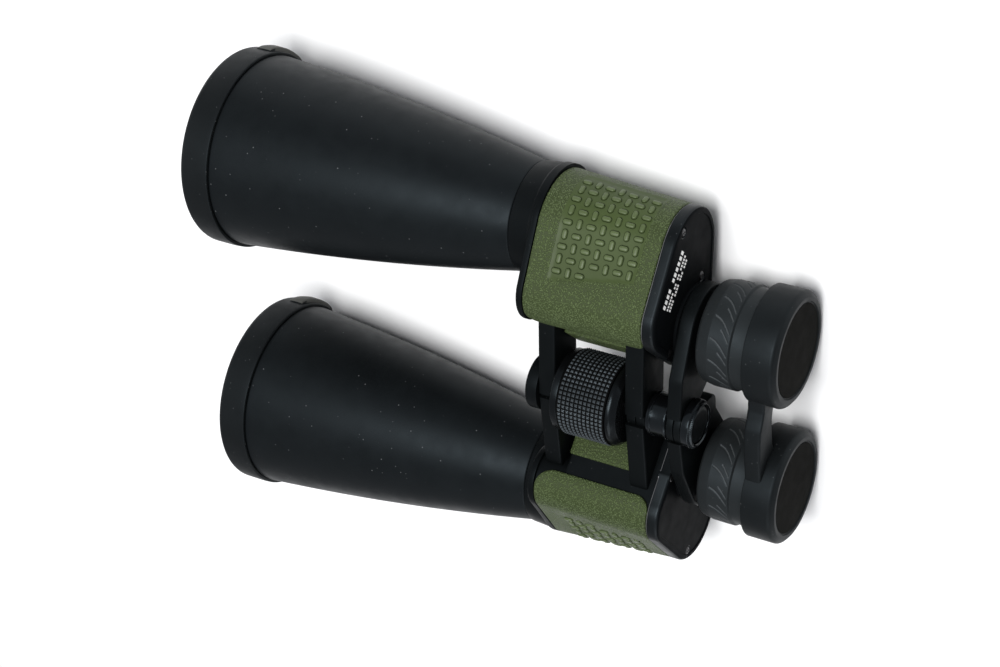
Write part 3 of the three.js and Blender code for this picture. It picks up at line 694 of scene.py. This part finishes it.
def rear_cover():
    edge = rounded([(-6, COVER_REAR), (0, COVER_REAR, 1.7), (0, COVER_FRONT - 0.5), (-0.5, COVER_FRONT),
                    (-WALL, COVER_FRONT)], 6)
    shell = loft([(full(COVER_FRONT, offset), y) for offset, y in edge])
    hollow = loft([(full(COVER_FRONT, -WALL), y) for y in (COVER_REAR + WALL, COVER_FRONT + 2)])
    recess = loft([(full(COVER_FRONT, -3.0 + 0.5 * k), COVER_REAR + 0.35 - 0.7 * k) for k in (0, 1)])
    boss = turned([(0, COVER_REAR - 1.1), (COVER_BOSS_R, COVER_REAR - 1.1, 0.8),
                   (COVER_BOSS_R, COVER_REAR + 1), (0, COVER_REAR + 1)], EYEPIECE, 128)
    bore = cylinder(12.1, COVER_REAR - 3, COVER_FRONT + 3, EYEPIECE)
    steps = [*cut(hollow, recess), ("UNION", boss), *cut(bore)]
    for place in SCREW_PLACES:
        pillar = cylinder(3.2, COVER_REAR + 0.6, COVER_FRONT, place, 48)
        seat = turned([(0, COVER_REAR - 1), (2.75, COVER_REAR - 1), (2.75, COVER_REAR + 0.25),
                       (2.2, COVER_REAR + 0.6), (2.2, COVER_REAR + 1.6), (0, COVER_REAR + 1.6)], place, 48)
        hole = cylinder(1.3, COVER_REAR, COVER_FRONT + 1, place, 32)
        steps += [("UNION", pillar), *cut(seat, hole)]
    return combined(shell, *steps)


def cover_finish(x, y, z):
    """Painted highlight along the edge against the armour, dull rear face, satin rim between them."""
    if y > COVER_FRONT - 0.55:
        return 1
    return 2 if y < COVER_REAR + 0.42 else 0


def cover_screw(place):
    """Domed cross-head screw."""
    head = COVER_REAR + 0.3
    screw = turned([(0, head), (1.3, head, 0.6), (1.9, head + 0.45, 0.3), (1.9, head + 1.0),
                    (1.0, head + 1.0), (1.0, COVER_FRONT - 0.5), (0, COVER_FRONT - 0.3)], place, 40, steps=4)
    x, z = place
    slots = []
    for long_x, long_z in ((1.15, 0.28), (0.28, 1.15)):
        corners = [(x - long_x, z - long_z), (x + long_x, z - long_z), (x + long_x, z + long_z),
                   (x - long_x, z + long_z)]
        slots.append(prism(corners, head - 1, head + 0.55))
    return combined(screw, *cut(*slots))


def print_bars():
    """Plain white marks on the right rear cover, in three rows along its outer slope."""
    along = Vector((-0.702, 0.712))
    inward = Vector((-0.712, -0.702))
    start = Vector((75.0, -11.5))
    rows = (  # depth from the edge, height, length and spacing of the marks, gaps in the row, row start
        (1.6, 2.3, 1.55, 2.35, (6,), 0.0),
        (5.3, 1.3, 0.85, 1.35, (5, 8, 11), 0.8),
        (7.9, 1.3, 0.85, 1.35, (3, 7, 12), 1.8),
    )
    shapes = []
    for depth, height, length, pitch, gaps, shift in rows:
        count = int((26.0 - shift) / pitch)
        for k in range(count):
            if k in gaps:
                continue
            low = shift + k * pitch
            corners = []
            for a, b in ((low, -0.5), (low + length, -0.5), (low + length, 0.5), (low, 0.5)):
                spot = start + along * a + inward * (depth + b * height)
                corners.append((spot.x, spot.y))
            shapes.append(prism(corners, COVER_REAR + 0.25, COVER_REAR + 0.4))
    return join(*shapes)


# ---------- rubber armour

def outline_table(start_x, end_test, clockwise):
    """Arc length and points along the housing's outline, at the middle and at both ends in y."""
    ends = (COVER_FRONT, HOUSING_FRONT)
    rings = [np.array(full(y)) for y in (80.0,) + ends]
    if clockwise:
        rings = [ring[::-1] for ring in rings]
    rings = [np.vstack([ring, ring]) for ring in rings]
    pieces = [[], [], []]
    for i in range(len(rings[0]) - 1):
        steps = max(1, int(np.hypot(*(rings[0][i + 1] - rings[0][i])) / 0.4))
        for k in range(steps):
            for table, ring in zip(pieces, rings):
                table.append(ring[i] + (ring[i + 1] - ring[i]) * k / steps)
    middle, low, high = [np.array(piece) for piece in pieces]
    sign = 1 if clockwise else -1
    crossing = np.where((sign * (middle[:-1, 0] - start_x) < 0) & (sign * (middle[1:, 0] - start_x) >= 0)
                        & (middle[1:, 1] > 0))[0][0] + 1
    middle, low, high = middle[crossing:], low[crossing:], high[crossing:]
    last = next(i for i, (x, z) in enumerate(middle) if end_test(x, z))
    middle, low, high = middle[:last], low[:last], high[:last]
    length = np.r_[0, np.cumsum(np.hypot(*np.diff(middle, axis=0).T))]
    return length, low, high


class Skin:
    """Points on the housing's outer surface by arc length s and y."""

    def __init__(self, start_x, end_test, clockwise):
        self.s, self.low, self.high = outline_table(start_x, end_test, clockwise)
        self.length = self.s[-1]
        self.turn = 1 if clockwise else -1

    def flat(self, s, y):
        t = (y - COVER_FRONT) / (HOUSING_FRONT - COVER_FRONT)
        column = [np.interp(s, self.s, self.low[:, k] * (1 - t) + self.high[:, k] * t) for k in (0, 1)]
        return Vector(column)

    def at(self, s, y, height=0.0):
        here = self.flat(s, y)
        along = self.flat(min(s + 0.6, self.length), y) - self.flat(max(s - 0.6, 0), y)
        normal = Vector((-along.y, along.x)).normalized() * self.turn
        spot = here + normal * height
        return (spot.x, y, spot.y)


def panel(skin, s0, s1, y0, y1, radii, height, spacing=1.2, edge=0.7):
    """A skin of the armour's thickness with rounded corners and edges.

    radii are the corner radii at (s0, y0), (s0, y1), (s1, y1) and (s1, y0); height(s, y) is relief.
    """
    r00, r01, r11, r10 = radii
    rim = [0.0, 0.08, 0.25, 0.5, 0.9]

    def spread(low, high):
        inner = np.linspace(low + 0.9, high - 0.9, max(2, int((high - low) / spacing)) + 1)[1:-1]
        return [low + d for d in rim] + list(inner) + [high - d for d in reversed(rim)]

    def limits(s):
        near, far = s - s0, s1 - s
        low, high = y0, y1
        for distance, low_r, high_r in ((near, r00, r01), (far, r10, r11)):
            if distance < low_r:
                low = max(low, y0 + low_r - math.sqrt(max(0, low_r ** 2 - (low_r - distance) ** 2)))
            if distance < high_r:
                high = min(high, y1 - high_r + math.sqrt(max(0, high_r ** 2 - (high_r - distance) ** 2)))
        return low, high

    def inset(s, y):
        near, far, below, above = s - s0, s1 - s, y - y0, y1 - y
        distance = min(near, far, below, above)
        for a, b, r in ((near, below, r00), (near, above, r01), (far, above, r11), (far, below, r10)):
            if a < r and b < r:
                distance = min(distance, r - math.hypot(r - a, r - b))
        return max(0.0, distance)

    columns = spread(s0, s1)
    outer, inner = [], []
    for s in columns:
        low, high = limits(s)
        rows = spread(y0, y1)
        scale = (high - low) / (y1 - y0)
        for row in rows:
            y = low + (row - y0) * scale
            d = inset(s, y)
            drop = edge - math.sqrt(max(0.0, edge ** 2 - (edge - d) ** 2)) if d < edge else 0.0
            outer.append(skin.at(s, y, height(s, y) - drop))
            inner.append(skin.at(s, y, -ARMOUR_T))
    wide, tall = len(columns), len(rows)
    total = len(outer)
    verts = outer + inner
    faces = []
    for i in range(wide - 1):
        for j in range(tall - 1):
            a = i * tall + j
            quad = (a, a + 1, a + 1 + tall, a + tall)
            faces.append(quad)
            faces.append(tuple(v + total for v in reversed(quad)))
    border = list(range(tall))
    border += [i * tall + tall - 1 for i in range(1, wide)]
    border += [(wide - 1) * tall + j for j in range(tall - 2, -1, -1)]
    border += [i * tall for i in range(wide - 2, 0, -1)]
    for a, b in zip(border, border[1:] + border[:1]):
        faces.append((a, b, b + total, a + total))
    return verts, faces


def field_floor(y):
    """The field's lower border climbs the slope towards the rear."""
    return 26.0 + (96.6 - y) / 36.0 * 7.0


def field_depth(s, y):
    """0 outside the smooth field, 1 well inside."""
    inside = min(y - FIELD_Y[0], FIELD_Y[1] - y, s - field_floor(y), FIELD_TOP - s)
    t = max(0.0, min(1.0, inside / 0.7))
    return t * t * (3 - 2 * t)


def dash(skin, s, y, lengthwise, heights):
    """One raised pill on the field, or the thin ring of painted shadow round its foot."""
    around = 22
    straight = DASH_HALF_LONG - DASH_HALF_WIDE
    rings = []
    for share, height in heights:
        ring = []
        for k in range(around):
            angle = 2 * math.pi * k / around
            a = DASH_HALF_WIDE * share * math.cos(angle) + math.copysign(straight, math.cos(angle))
            b = DASH_HALF_WIDE * share * math.sin(angle)
            ds, dy = (b, a) if lengthwise else (a, b)
            ring.append(skin.at(s + ds, y + dy, height - FIELD_SINK))
        rings.append(ring)
    return skinned(rings)


def upper_armour():
    """The surface that the upper armour follows, its panel, its raised dashes and the rings of painted
    shadow round their feet.
    """
    skin = Skin(37.4, lambda x, z: z < -30 and x <= 63, True)
    shape = panel(skin, 0.0, skin.length, COVER_FRONT + GAP, ARMOUR_FRONT, (6.5, 9.0, 1.0, 1.0),
                  lambda s, y: -FIELD_SINK * field_depth(s, y), spacing=0.9)
    dashes, dash_shadows = [], []
    for row, s in enumerate(DASH_ROWS):
        for column, y in enumerate(DASH_COLUMNS):
            if s - 1.4 > field_floor(y):
                lengthwise = (row + column) % 2 == 0
                dashes.append(dash(skin, s, y, lengthwise, DASH_RINGS))
                # the ring of painted shadow round the dash's foot
                dash_shadows.append(dash(skin, s, y, lengthwise, DASH_SHADOW_RINGS))
    return skin, shape, join(*dashes), join(*dash_shadows)


def inner_armour():
    """Small panel between the two arms."""
    skin = Skin(31.6, lambda x, z: z < -30 and x >= 60.5, False)
    return panel(skin, 0.0, skin.length, REAR_ARM[1] + 0.5, HUMP_FRONT, (0.8, 0.8, 0.8, 0.8),
                 lambda s, y: 0.0)


# ---------- eyepieces, cups and rain guard

def eyepiece_body():
    return turned([
        (14.6, 14.8), (17.2, 14.8, 0.4), (17.2, 37.2, 0.3), (16.2, 37.6, 0.2), (14.6, 38.9, 0.2),
        (11.7, 38.9), (11.7, 64, 0.4), (10, 64), (10, 36), (12.6, 34.5), (12.6, 22), (14.6, 20)],
        EYEPIECE, 128, steps=4, closed=True)


def slash_depth(angle, y, side):
    """Depth of the thin curved slanted grooves round the eyecup's band, all leaning alike."""
    t = (y - GRIP_BAND[0]) / (GRIP_BAND[1] - GRIP_BAND[0])
    if not 0 < t < 1:
        return 0.0
    pitch = 2 * math.pi / SLASHES
    lean = -side * (0.30 * (t - 0.5) + 0.06 * math.sin(math.pi * t))
    depth = 0.0
    for centre, reach in ((0.0, 1.0), (0.36, 0.5)):
        if t > reach:
            continue
        offset = ((angle - lean) / pitch - centre + 0.5) % 1.0 - 0.5
        distance = abs(offset) * pitch * CUP_BAND_R
        if distance < SLASH_HALF_WIDTH:
            depth = max(depth, SLASH_DEPTH * (1 - distance / SLASH_HALF_WIDTH) ** 0.5)
    return depth


def eyecup(side):
    """The cup is turned, and its grip band is pressed in along the slanted grooves."""
    band = CUP_BAND_R - 0.1
    profile = rounded(CUP_PROFILE, 5, closed=True)
    dense = []
    for (r0, y0), (r1, y1) in zip(profile, profile[1:] + profile[:1]):
        dense.append((r0, y0))
        if r0 > band and r1 > band and abs(y1 - y0) > 2:
            cuts = 26
            dense += [(r0 + (r1 - r0) * k / cuts, y0 + (y1 - y0) * k / cuts) for k in range(1, cuts)]
    verts, faces = lathe(dense, EYEPIECE, 680)
    moved = []
    for x, y, z in verts:
        dx, dz = x - EYEPIECE[0], z - EYEPIECE[1]
        r = math.hypot(dx, dz)
        if r > band:
            share = 1 - slash_depth(math.atan2(dz, dx), y, side) / r
            x, z = EYEPIECE[0] + dx * share, EYEPIECE[1] + dz * share
        moved.append((x, y, z))
    return moved, faces


def in_slash(side):
    """Picks the painted highlight, a lighter rubber, for the faces down in the grooves."""
    def pick(x, y, z):
        angle = math.atan2(z - EYEPIECE[1], x - EYEPIECE[0])
        on_band = from_axis(EYEPIECE, x, z) > CUP_BAND_R - 0.6
        return 1 if on_band and slash_depth(angle, y, side) > 0.12 else 0
    return pick


def guard_cup():
    return turned([
        (0, 0.0), (GUARD_DISC_R, 0.0, 0.15), (20.1, 0.35, 0.1), (20.5, 0.35, 0.1), (20.8, -0.35, 0.3),
        (22.6, -0.4, 0.8), (GUARD_R, 1.3, 2.2), (GUARD_R, GUARD_FRONT, 0.5),
        (GUARD_BORE_R, GUARD_FRONT, 0.4), (GUARD_BORE_R, 2.0, 0.8), (0, 2.0)], EYEPIECE, 160, steps=6)


def on_guard_disc(x, y, z):
    """Picks the matt finish for the disc inside the guard's rim."""
    return 1 if y < 0.3 and from_axis(EYEPIECE, x, z) < GUARD_DISC_R + 0.05 else 0


def strap():
    """Web between the two guard cups, running tangentially into both of them."""
    columns = 68
    section = rounded([(-1, 0, 0.16), (1, 0, 0.16), (1, 1, 0.16), (-1, 1, 0.16)], 4, closed=True)
    rings = []
    for i in range(columns + 1):
        x = STRAP_X[0] + (STRAP_X[-1] - STRAP_X[0]) * i / columns
        top = np.interp(x, STRAP_X, STRAP_TOP)
        bottom = np.interp(x, STRAP_X, STRAP_LOW)
        middle, half_height = (top + bottom) / 2, (top - bottom) / 2
        rings.append([(x, STRAP_REAR + v * (GUARD_FRONT - STRAP_REAR), middle + u * half_height)
                      for u, v in section])
    cups = [cylinder(GUARD_R - 0.9, 0, 20, (sign * EYEPIECE[0], EYEPIECE[1]), 128) for sign in (-1, 1)]
    return combined(skinned(rings), *cut(*cups))


def bridge_arm(side):
    blank = slab(BRIDGE_CIRCLES, *BRIDGE)
    if side < 0:
        blank = combined(blank, ("UNION", slab(LUG_CIRCLES, *BRIDGE)))
    arm = lapped_arm(blank, BRIDGE, BRIDGE_LAP, side > 0, 5.4)
    return combined(arm, *cut(cylinder(12.0, 30, 60, EYEPIECE)))


# ---------- centre hinge and focus wheel

def spindle():
    """Rod, collar and sleeve of the sliding bridge, with turned steps at both ends of the sleeve."""
    return turned([
        (0, 39.2), (5.1, 39.2, 0.2), (5.1, 45.9), (8.6, 45.9), (9.6, 46.9, 0.3), (9.6, 47.6, 0.1),
        (9.2, 47.8, 0.1), (9.2, 53.4, 0.1), (9.6, 53.6, 0.1), (9.6, 54.4, 0.2), (9.2, 54.6, 0.1),
        (9.2, 55.4, 0.3), (8.7, 55.9), (2.9, 55.9), (2.9, 94), (0, 94)], HINGE, 96, steps=4)


def bezel():
    """Dished end cap with fine serrations round its shoulder."""
    verts, faces = turned([
        (0, 36.9), (8.2, 36.9), (8.2, 34.6, 0.2), (8.9, 34.1, 0.3), (9.3, 34.2), (9.5, 34.9), (10.3, 35.5),
        (10.6, 35.7, 0.3), (10.6, 38.9, 0.4), (0, 38.9)], HINGE, 288, steps=6)
    moved = []
    for x, y, z in verts:
        r = math.hypot(x, z)
        if 9.25 < r < 10.4 and y < 35.6:
            y += 0.28 * (0.5 + 0.5 * math.cos(72 * math.atan2(z, x)))
        moved.append((x, y, z))
    return moved, faces


def bezel_disc():
    return turned([(0, 34.6), (6.6, 34.6, 0.4), (7.9, 34.9, 0.3), (7.9, 36.6), (0, 36.6)], HINGE, 96,
                  steps=4)


def wheel_core():
    """Turned core with a smooth rim on each side of the rubber ring's seat."""
    rim = WHEEL_RIM_R
    return turned([
        (5.4, WHEEL_REAR), (rim - 2.4, WHEEL_REAR, 0.8), (rim - 0.1, 68.2, 2.2), (rim, 70, 0.25),
        (GRIP_SEAT_R, 70), (GRIP_SEAT_R, 93), (rim, 93, 0.3), (rim, 96.0, 0.6),
        (rim - 1.2, WHEEL_FRONT, 0.3), (5.4, WHEEL_FRONT)], HINGE, 160, closed=True)


def wheel_grip():
    """Rubber ring with rows of small flat-topped pyramids."""
    fine = 6  # points across each pyramid
    margin = 0.4  # plain strip at each end
    steps = KNURL_ROWS * fine
    count = KNURLS_AROUND * fine
    circles = []  # for each: a radius at each point round it, and y
    for j in range(steps + 1):
        y = GRIP_REAR + margin + (GRIP_FRONT - GRIP_REAR - 2 * margin) * j / steps
        wave_y = 1 - abs(2 * ((j / fine) % 1.0) - 1) if 0 < j < steps else 0.0
        waves = [min(1 - abs(2 * ((i / fine) % 1.0) - 1), wave_y) for i in range(count)]
        circles.append(([KNURL_BASE_R + KNURL_RISE * wave for wave in waves], y))
    for r, y in ((18.4, GRIP_FRONT), (16.6, GRIP_FRONT), (16.6, GRIP_REAR), (18.4, GRIP_REAR)):
        circles.append(([r] * count, y))
    verts, faces = [], []
    for radii, y in circles:
        for i, r in enumerate(radii):
            angle = 2 * math.pi * i / count
            verts.append((r * math.cos(angle), y, r * math.sin(angle)))
    for j in range(len(circles)):
        following = (j + 1) % len(circles)
        for i in range(count):
            k = (i + 1) % count
            faces.append((j * count + i, j * count + k, following * count + k, following * count + i))
    return verts, faces


def in_knurl_groove(x, y, z):
    """Picks the painted shade for the faces low down between the pyramids; the rest take the lighter rubber,
    a painted highlight.
    """
    return 1 if math.hypot(x, z) < KNURL_BASE_R + 0.26 * KNURL_RISE else 0


def hinge_boss():
    """Disc ahead of the front arms, with the recess and the hole of the tripod socket."""
    return turned([
        (0, 105.8), (BOSS_R, 105.8, 0.3), (BOSS_R, BOSS_FRONT, 0.8), (6.7, BOSS_FRONT, 0.2), (6.7, 109.6),
        (3.3, 109.6), (3.3, 107), (0, 107)], HINGE, 128)


def tripod_cap():
    """Plug with a milled rim and a shallow dish."""
    verts, faces = turned([
        (0, 108.1), (2.9, 108.1, 0.3), (2.9, 109.9), (TRIPOD_CAP_R, 109.9, 0.2), (TRIPOD_CAP_R, 111.1, 0.4),
        (5.0, 111.1, 0.3), (4.6, 110.7, 0.2), (0, 110.7)], HINGE, 120)
    moved = []
    for x, y, z in verts:
        r = math.hypot(x, z)
        if r > TRIPOD_CAP_R - 0.3:
            ridge = 0.16 * (0.5 + 0.5 * math.cos(40 * math.atan2(z, x)))
            x, z = x * (r - ridge) / r, z * (r - ridge) / r
        moved.append((x, y, z))
    return moved, faces


# ---------- assembly

def dress_cad(node, material):
    """Gives a CAD piece that stays as it is its finished material."""
    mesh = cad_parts[node].data
    mesh.materials.clear()
    mesh.materials.append(material)


def half(side_name):
    """Makes every piece that both sides have."""
    side = SIDES[side_name]
    body = f"{side_name}_half"
    eyepiece_rides = "carriage" if side < 0 else "right_eyepiece"
    bridge_rides = "carriage" if side < 0 else "right_bridge"

    def put(name, shape, material, slot, riding=body, **options):
        """A piece that stands for the CAD node of the same name."""
        node = f"{side_name}_{name}"
        return make(f"{node}_skin", shape, material, riding, [node], slot, side, **options)

    put("objective_tube", barrel(), enamel, "black_enamel")
    put("objective_cell", cell_ring(), optic_black, "black_plastic")
    put("objective_flint", lens(LENS_R, 243.3, 0.6, 247.5, -2.2, OBJECTIVE), glass, "lens_glass")
    put("objective_crown", lens(LENS_R, 247.8, -2.2, 251, 3, OBJECTIVE), glass, "lens_glass")
    put("objective_ring", retaining_ring(), bare_steel, "steel")
    put("housing", housing(side), arm_enamel, "black_enamel", sharp=28)
    # the cover's edge against the armour takes a painted highlight
    put("rear_cover", rear_cover(), [plastic, edge_painted_highlight, cover_face], "black_plastic", sharp=28,
        pick=cover_finish)
    for number, place in enumerate(SCREW_PLACES, 1):
        put(f"cover_screw_{number}", cover_screw(place), screw_steel, "steel")

    skin, shape, dashes, dash_shadows = upper_armour()
    armour = put("upper_armour", shape, [armour_grain, armour_plain], "green_armour", sharp=60)
    paint_field(armour, skin, side)
    # raised dashes in lighter green, a painted highlight
    make(f"{side_name}_armour_dashes", dashes, dash_painted_highlight, body, (), "green_armour", side, sharp=60)
    # painted shadow round the dashes' feet
    make(f"{side_name}_armour_dash_shadows", dash_shadows, dash_painted_shadow, body, (), "green_armour", side, sharp=60)
    put("inner_armour", inner_armour(), armour_grain, "green_armour", sharp=60)

    put("objective_cap", join(objective_cap(), pull_lip(side)), [rubber, lip_rubber], "black_rubber",
        riding=f"{side_name}_cap", pick=on_lip)
    put("eyepiece_body", eyepiece_body(), gloss_black, "black_enamel", riding=eyepiece_rides)
    # the grooves of the cup take a painted highlight
    put("eyecup", eyecup(side), [cup_rubber, slash_painted_highlight], "black_rubber", riding=eyepiece_rides,
        sharp=50, pick=in_slash(side))
    put("eye_lens", lens(12.2, 22.6, -1.8, 27, 1.5, EYEPIECE), glass, "lens_glass", riding=eyepiece_rides)
    put("field_lens", lens(12.2, 30, -0.8, 33, 1.2, EYEPIECE), glass, "lens_glass", riding=eyepiece_rides)
    put("bridge_arm", bridge_arm(side), arm_enamel, "black_enamel", riding=bridge_rides, sharp=28)
    put("rain_guard", guard_cup(), [rubber, matt_disc], "black_rubber", riding=f"{side_name}_guard",
        pick=on_guard_disc)
    for name, material in (("rear_prism", glass), ("front_prism", glass), ("prism_shelf", optic_black)):
        dress_cad(f"{side_name}_{name}", material)


def paint_field(obj, skin, side):
    """The armour's smooth field takes the plainer rubber."""
    inner_start = len(obj.data.vertices) // 2
    samples = [(s, y) for s in np.arange(24, FIELD_TOP, 1.0) for y in np.arange(59, 99, 1.0)
               if field_depth(s, y) > 0.5]
    spots = np.array([skin.at(s, y) for s, y in samples])
    for polygon in obj.data.polygons:
        if min(polygon.vertices) >= inner_start:
            continue
        here = np.array(to_design(polygon.center, side))
        if np.min(np.sum((spots - here) ** 2, axis=1)) < 0.75:
            polygon.material_index = 1


for side_name in SIDES:
    half(side_name)

make("right_cover_marks", print_bars(), print_white, "right_half", (), "black_plastic")
strap_piece = make("rain_guard_strap", strap(), rubber, None, (), "black_rubber")
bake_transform(strap_piece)

# The centre's pieces, each in place of the CAD node of the same name
for node, shape, material, body, slot, options in (
        ("focus_spindle", spindle(), gloss_black, "carriage", "gloss_black", {}),
        ("bridge_bezel", bezel(), gloss_black, "carriage", "gloss_black", {}),
        ("bridge_disc", bezel_disc(), plastic, "carriage", "black_plastic", {}),
        ("focus_wheel_core", wheel_core(), satin_black, "focus_wheel", "gloss_black", {}),
        # painted highlight on the pyramids, painted shade between them
        ("focus_wheel_grip", wheel_grip(), [knurl_painted_highlight, knurl_painted_shade], "focus_wheel", "black_rubber",
         {"sharp": 20, "pick": in_knurl_groove}),
        ("hinge_boss", hinge_boss(), arm_enamel, "left_half", "black_enamel", {}),
        ("tripod_cap", tripod_cap(), plastic, "tripod_cap", "black_plastic", {})):
    make(f"{node}_skin", shape, material, body, [node], slot, **options)
dress_cad("hinge_axle", bare_steel)


# ---------- floor, light and camera

AIM = (0.0, 0.0, 0.05)  # where the lights point, in metres
CAMERA_PLACE = Vector((0.54539, -0.42949, 0.73906))
CAMERA_RIGHT = Vector((-0.05621, -0.86521, -0.49824))
CAMERA_UP = Vector((0.83113, 0.23597, -0.50353))
CAMERA_LENS = 80.172


def stage_floor():
    """A pale floor that touches both objective caps and both rain guard cups."""
    cap_edge = (CAP_REAR + ORIGIN[1]) * MM
    guard_edge = (1.0 + ORIGIN[1]) * MM
    guard_low = (ORIGIN[2] + EYEPIECE[1] - GUARD_R) * MM
    rise = guard_low / (cap_edge - guard_edge)
    clearance = 0.0002
    size = 6.0
    corners = [(-size, -size), (size, -size), (size, size), (-size, size)]
    mesh = bpy.data.meshes.new("studio_floor")
    mesh.from_pydata([(x, y, (cap_edge - y) * rise - clearance) for x, y in corners], [], [(0, 1, 2, 3)])
    mesh.materials.append(surface("studio_floor", (0.86, 0.86, 0.86), 0.85, mottle=0.01, mottle_scale=3,
                                  grain_scale=300, grain_depth=0.0001, grain_strength=0.1))
    linked_object("studio_floor", mesh)


def area_light(name, place, size, power):
    """A soft rectangular light aimed at the object."""
    data = bpy.data.lights.new(name, "AREA")
    data.shape = "RECTANGLE"
    data.size, data.size_y = size
    data.energy = power
    obj = linked_object(name, data)
    obj.location = place
    direction = Vector(AIM) - Vector(place)
    obj.rotation_euler = direction.to_track_quat("-Z", "Y").to_euler()


def studio():
    """Even pale surroundings and three lights."""
    world = bpy.data.worlds.new("studio")
    world.use_nodes = True
    background = world.node_tree.nodes["Background"]
    background.inputs["Color"].default_value = (0.93, 0.95, 1.0, 1.0)
    background.inputs["Strength"].default_value = 0.45
    bpy.context.scene.world = world
    area_light("key", (0.55, -0.15, 1.25), (0.7, 0.7), 24)
    area_light("fill", (-0.9, -0.5, 0.9), (0.9, 0.9), 6)
    area_light("rim", (0.3, 1.2, 0.7), (0.9, 0.5), 3)


def camera():
    """Looks down on the rear of the binoculars from their right, turned on its side."""
    data = bpy.data.cameras.new("view")
    data.sensor_width = 36.0
    data.lens = CAMERA_LENS
    data.clip_start = 0.05
    data.clip_end = 50
    obj = linked_object("view", data)
    axes = (CAMERA_RIGHT, CAMERA_UP, CAMERA_RIGHT.cross(CAMERA_UP), CAMERA_PLACE)
    obj.matrix_world = Matrix([[axis[row] for axis in axes] for row in range(3)] + [[0, 0, 0, 1]])
    bpy.context.scene.camera = obj


stage_floor()
studio()
camera()
bpy.context.scene.view_settings.view_transform = "Standard"
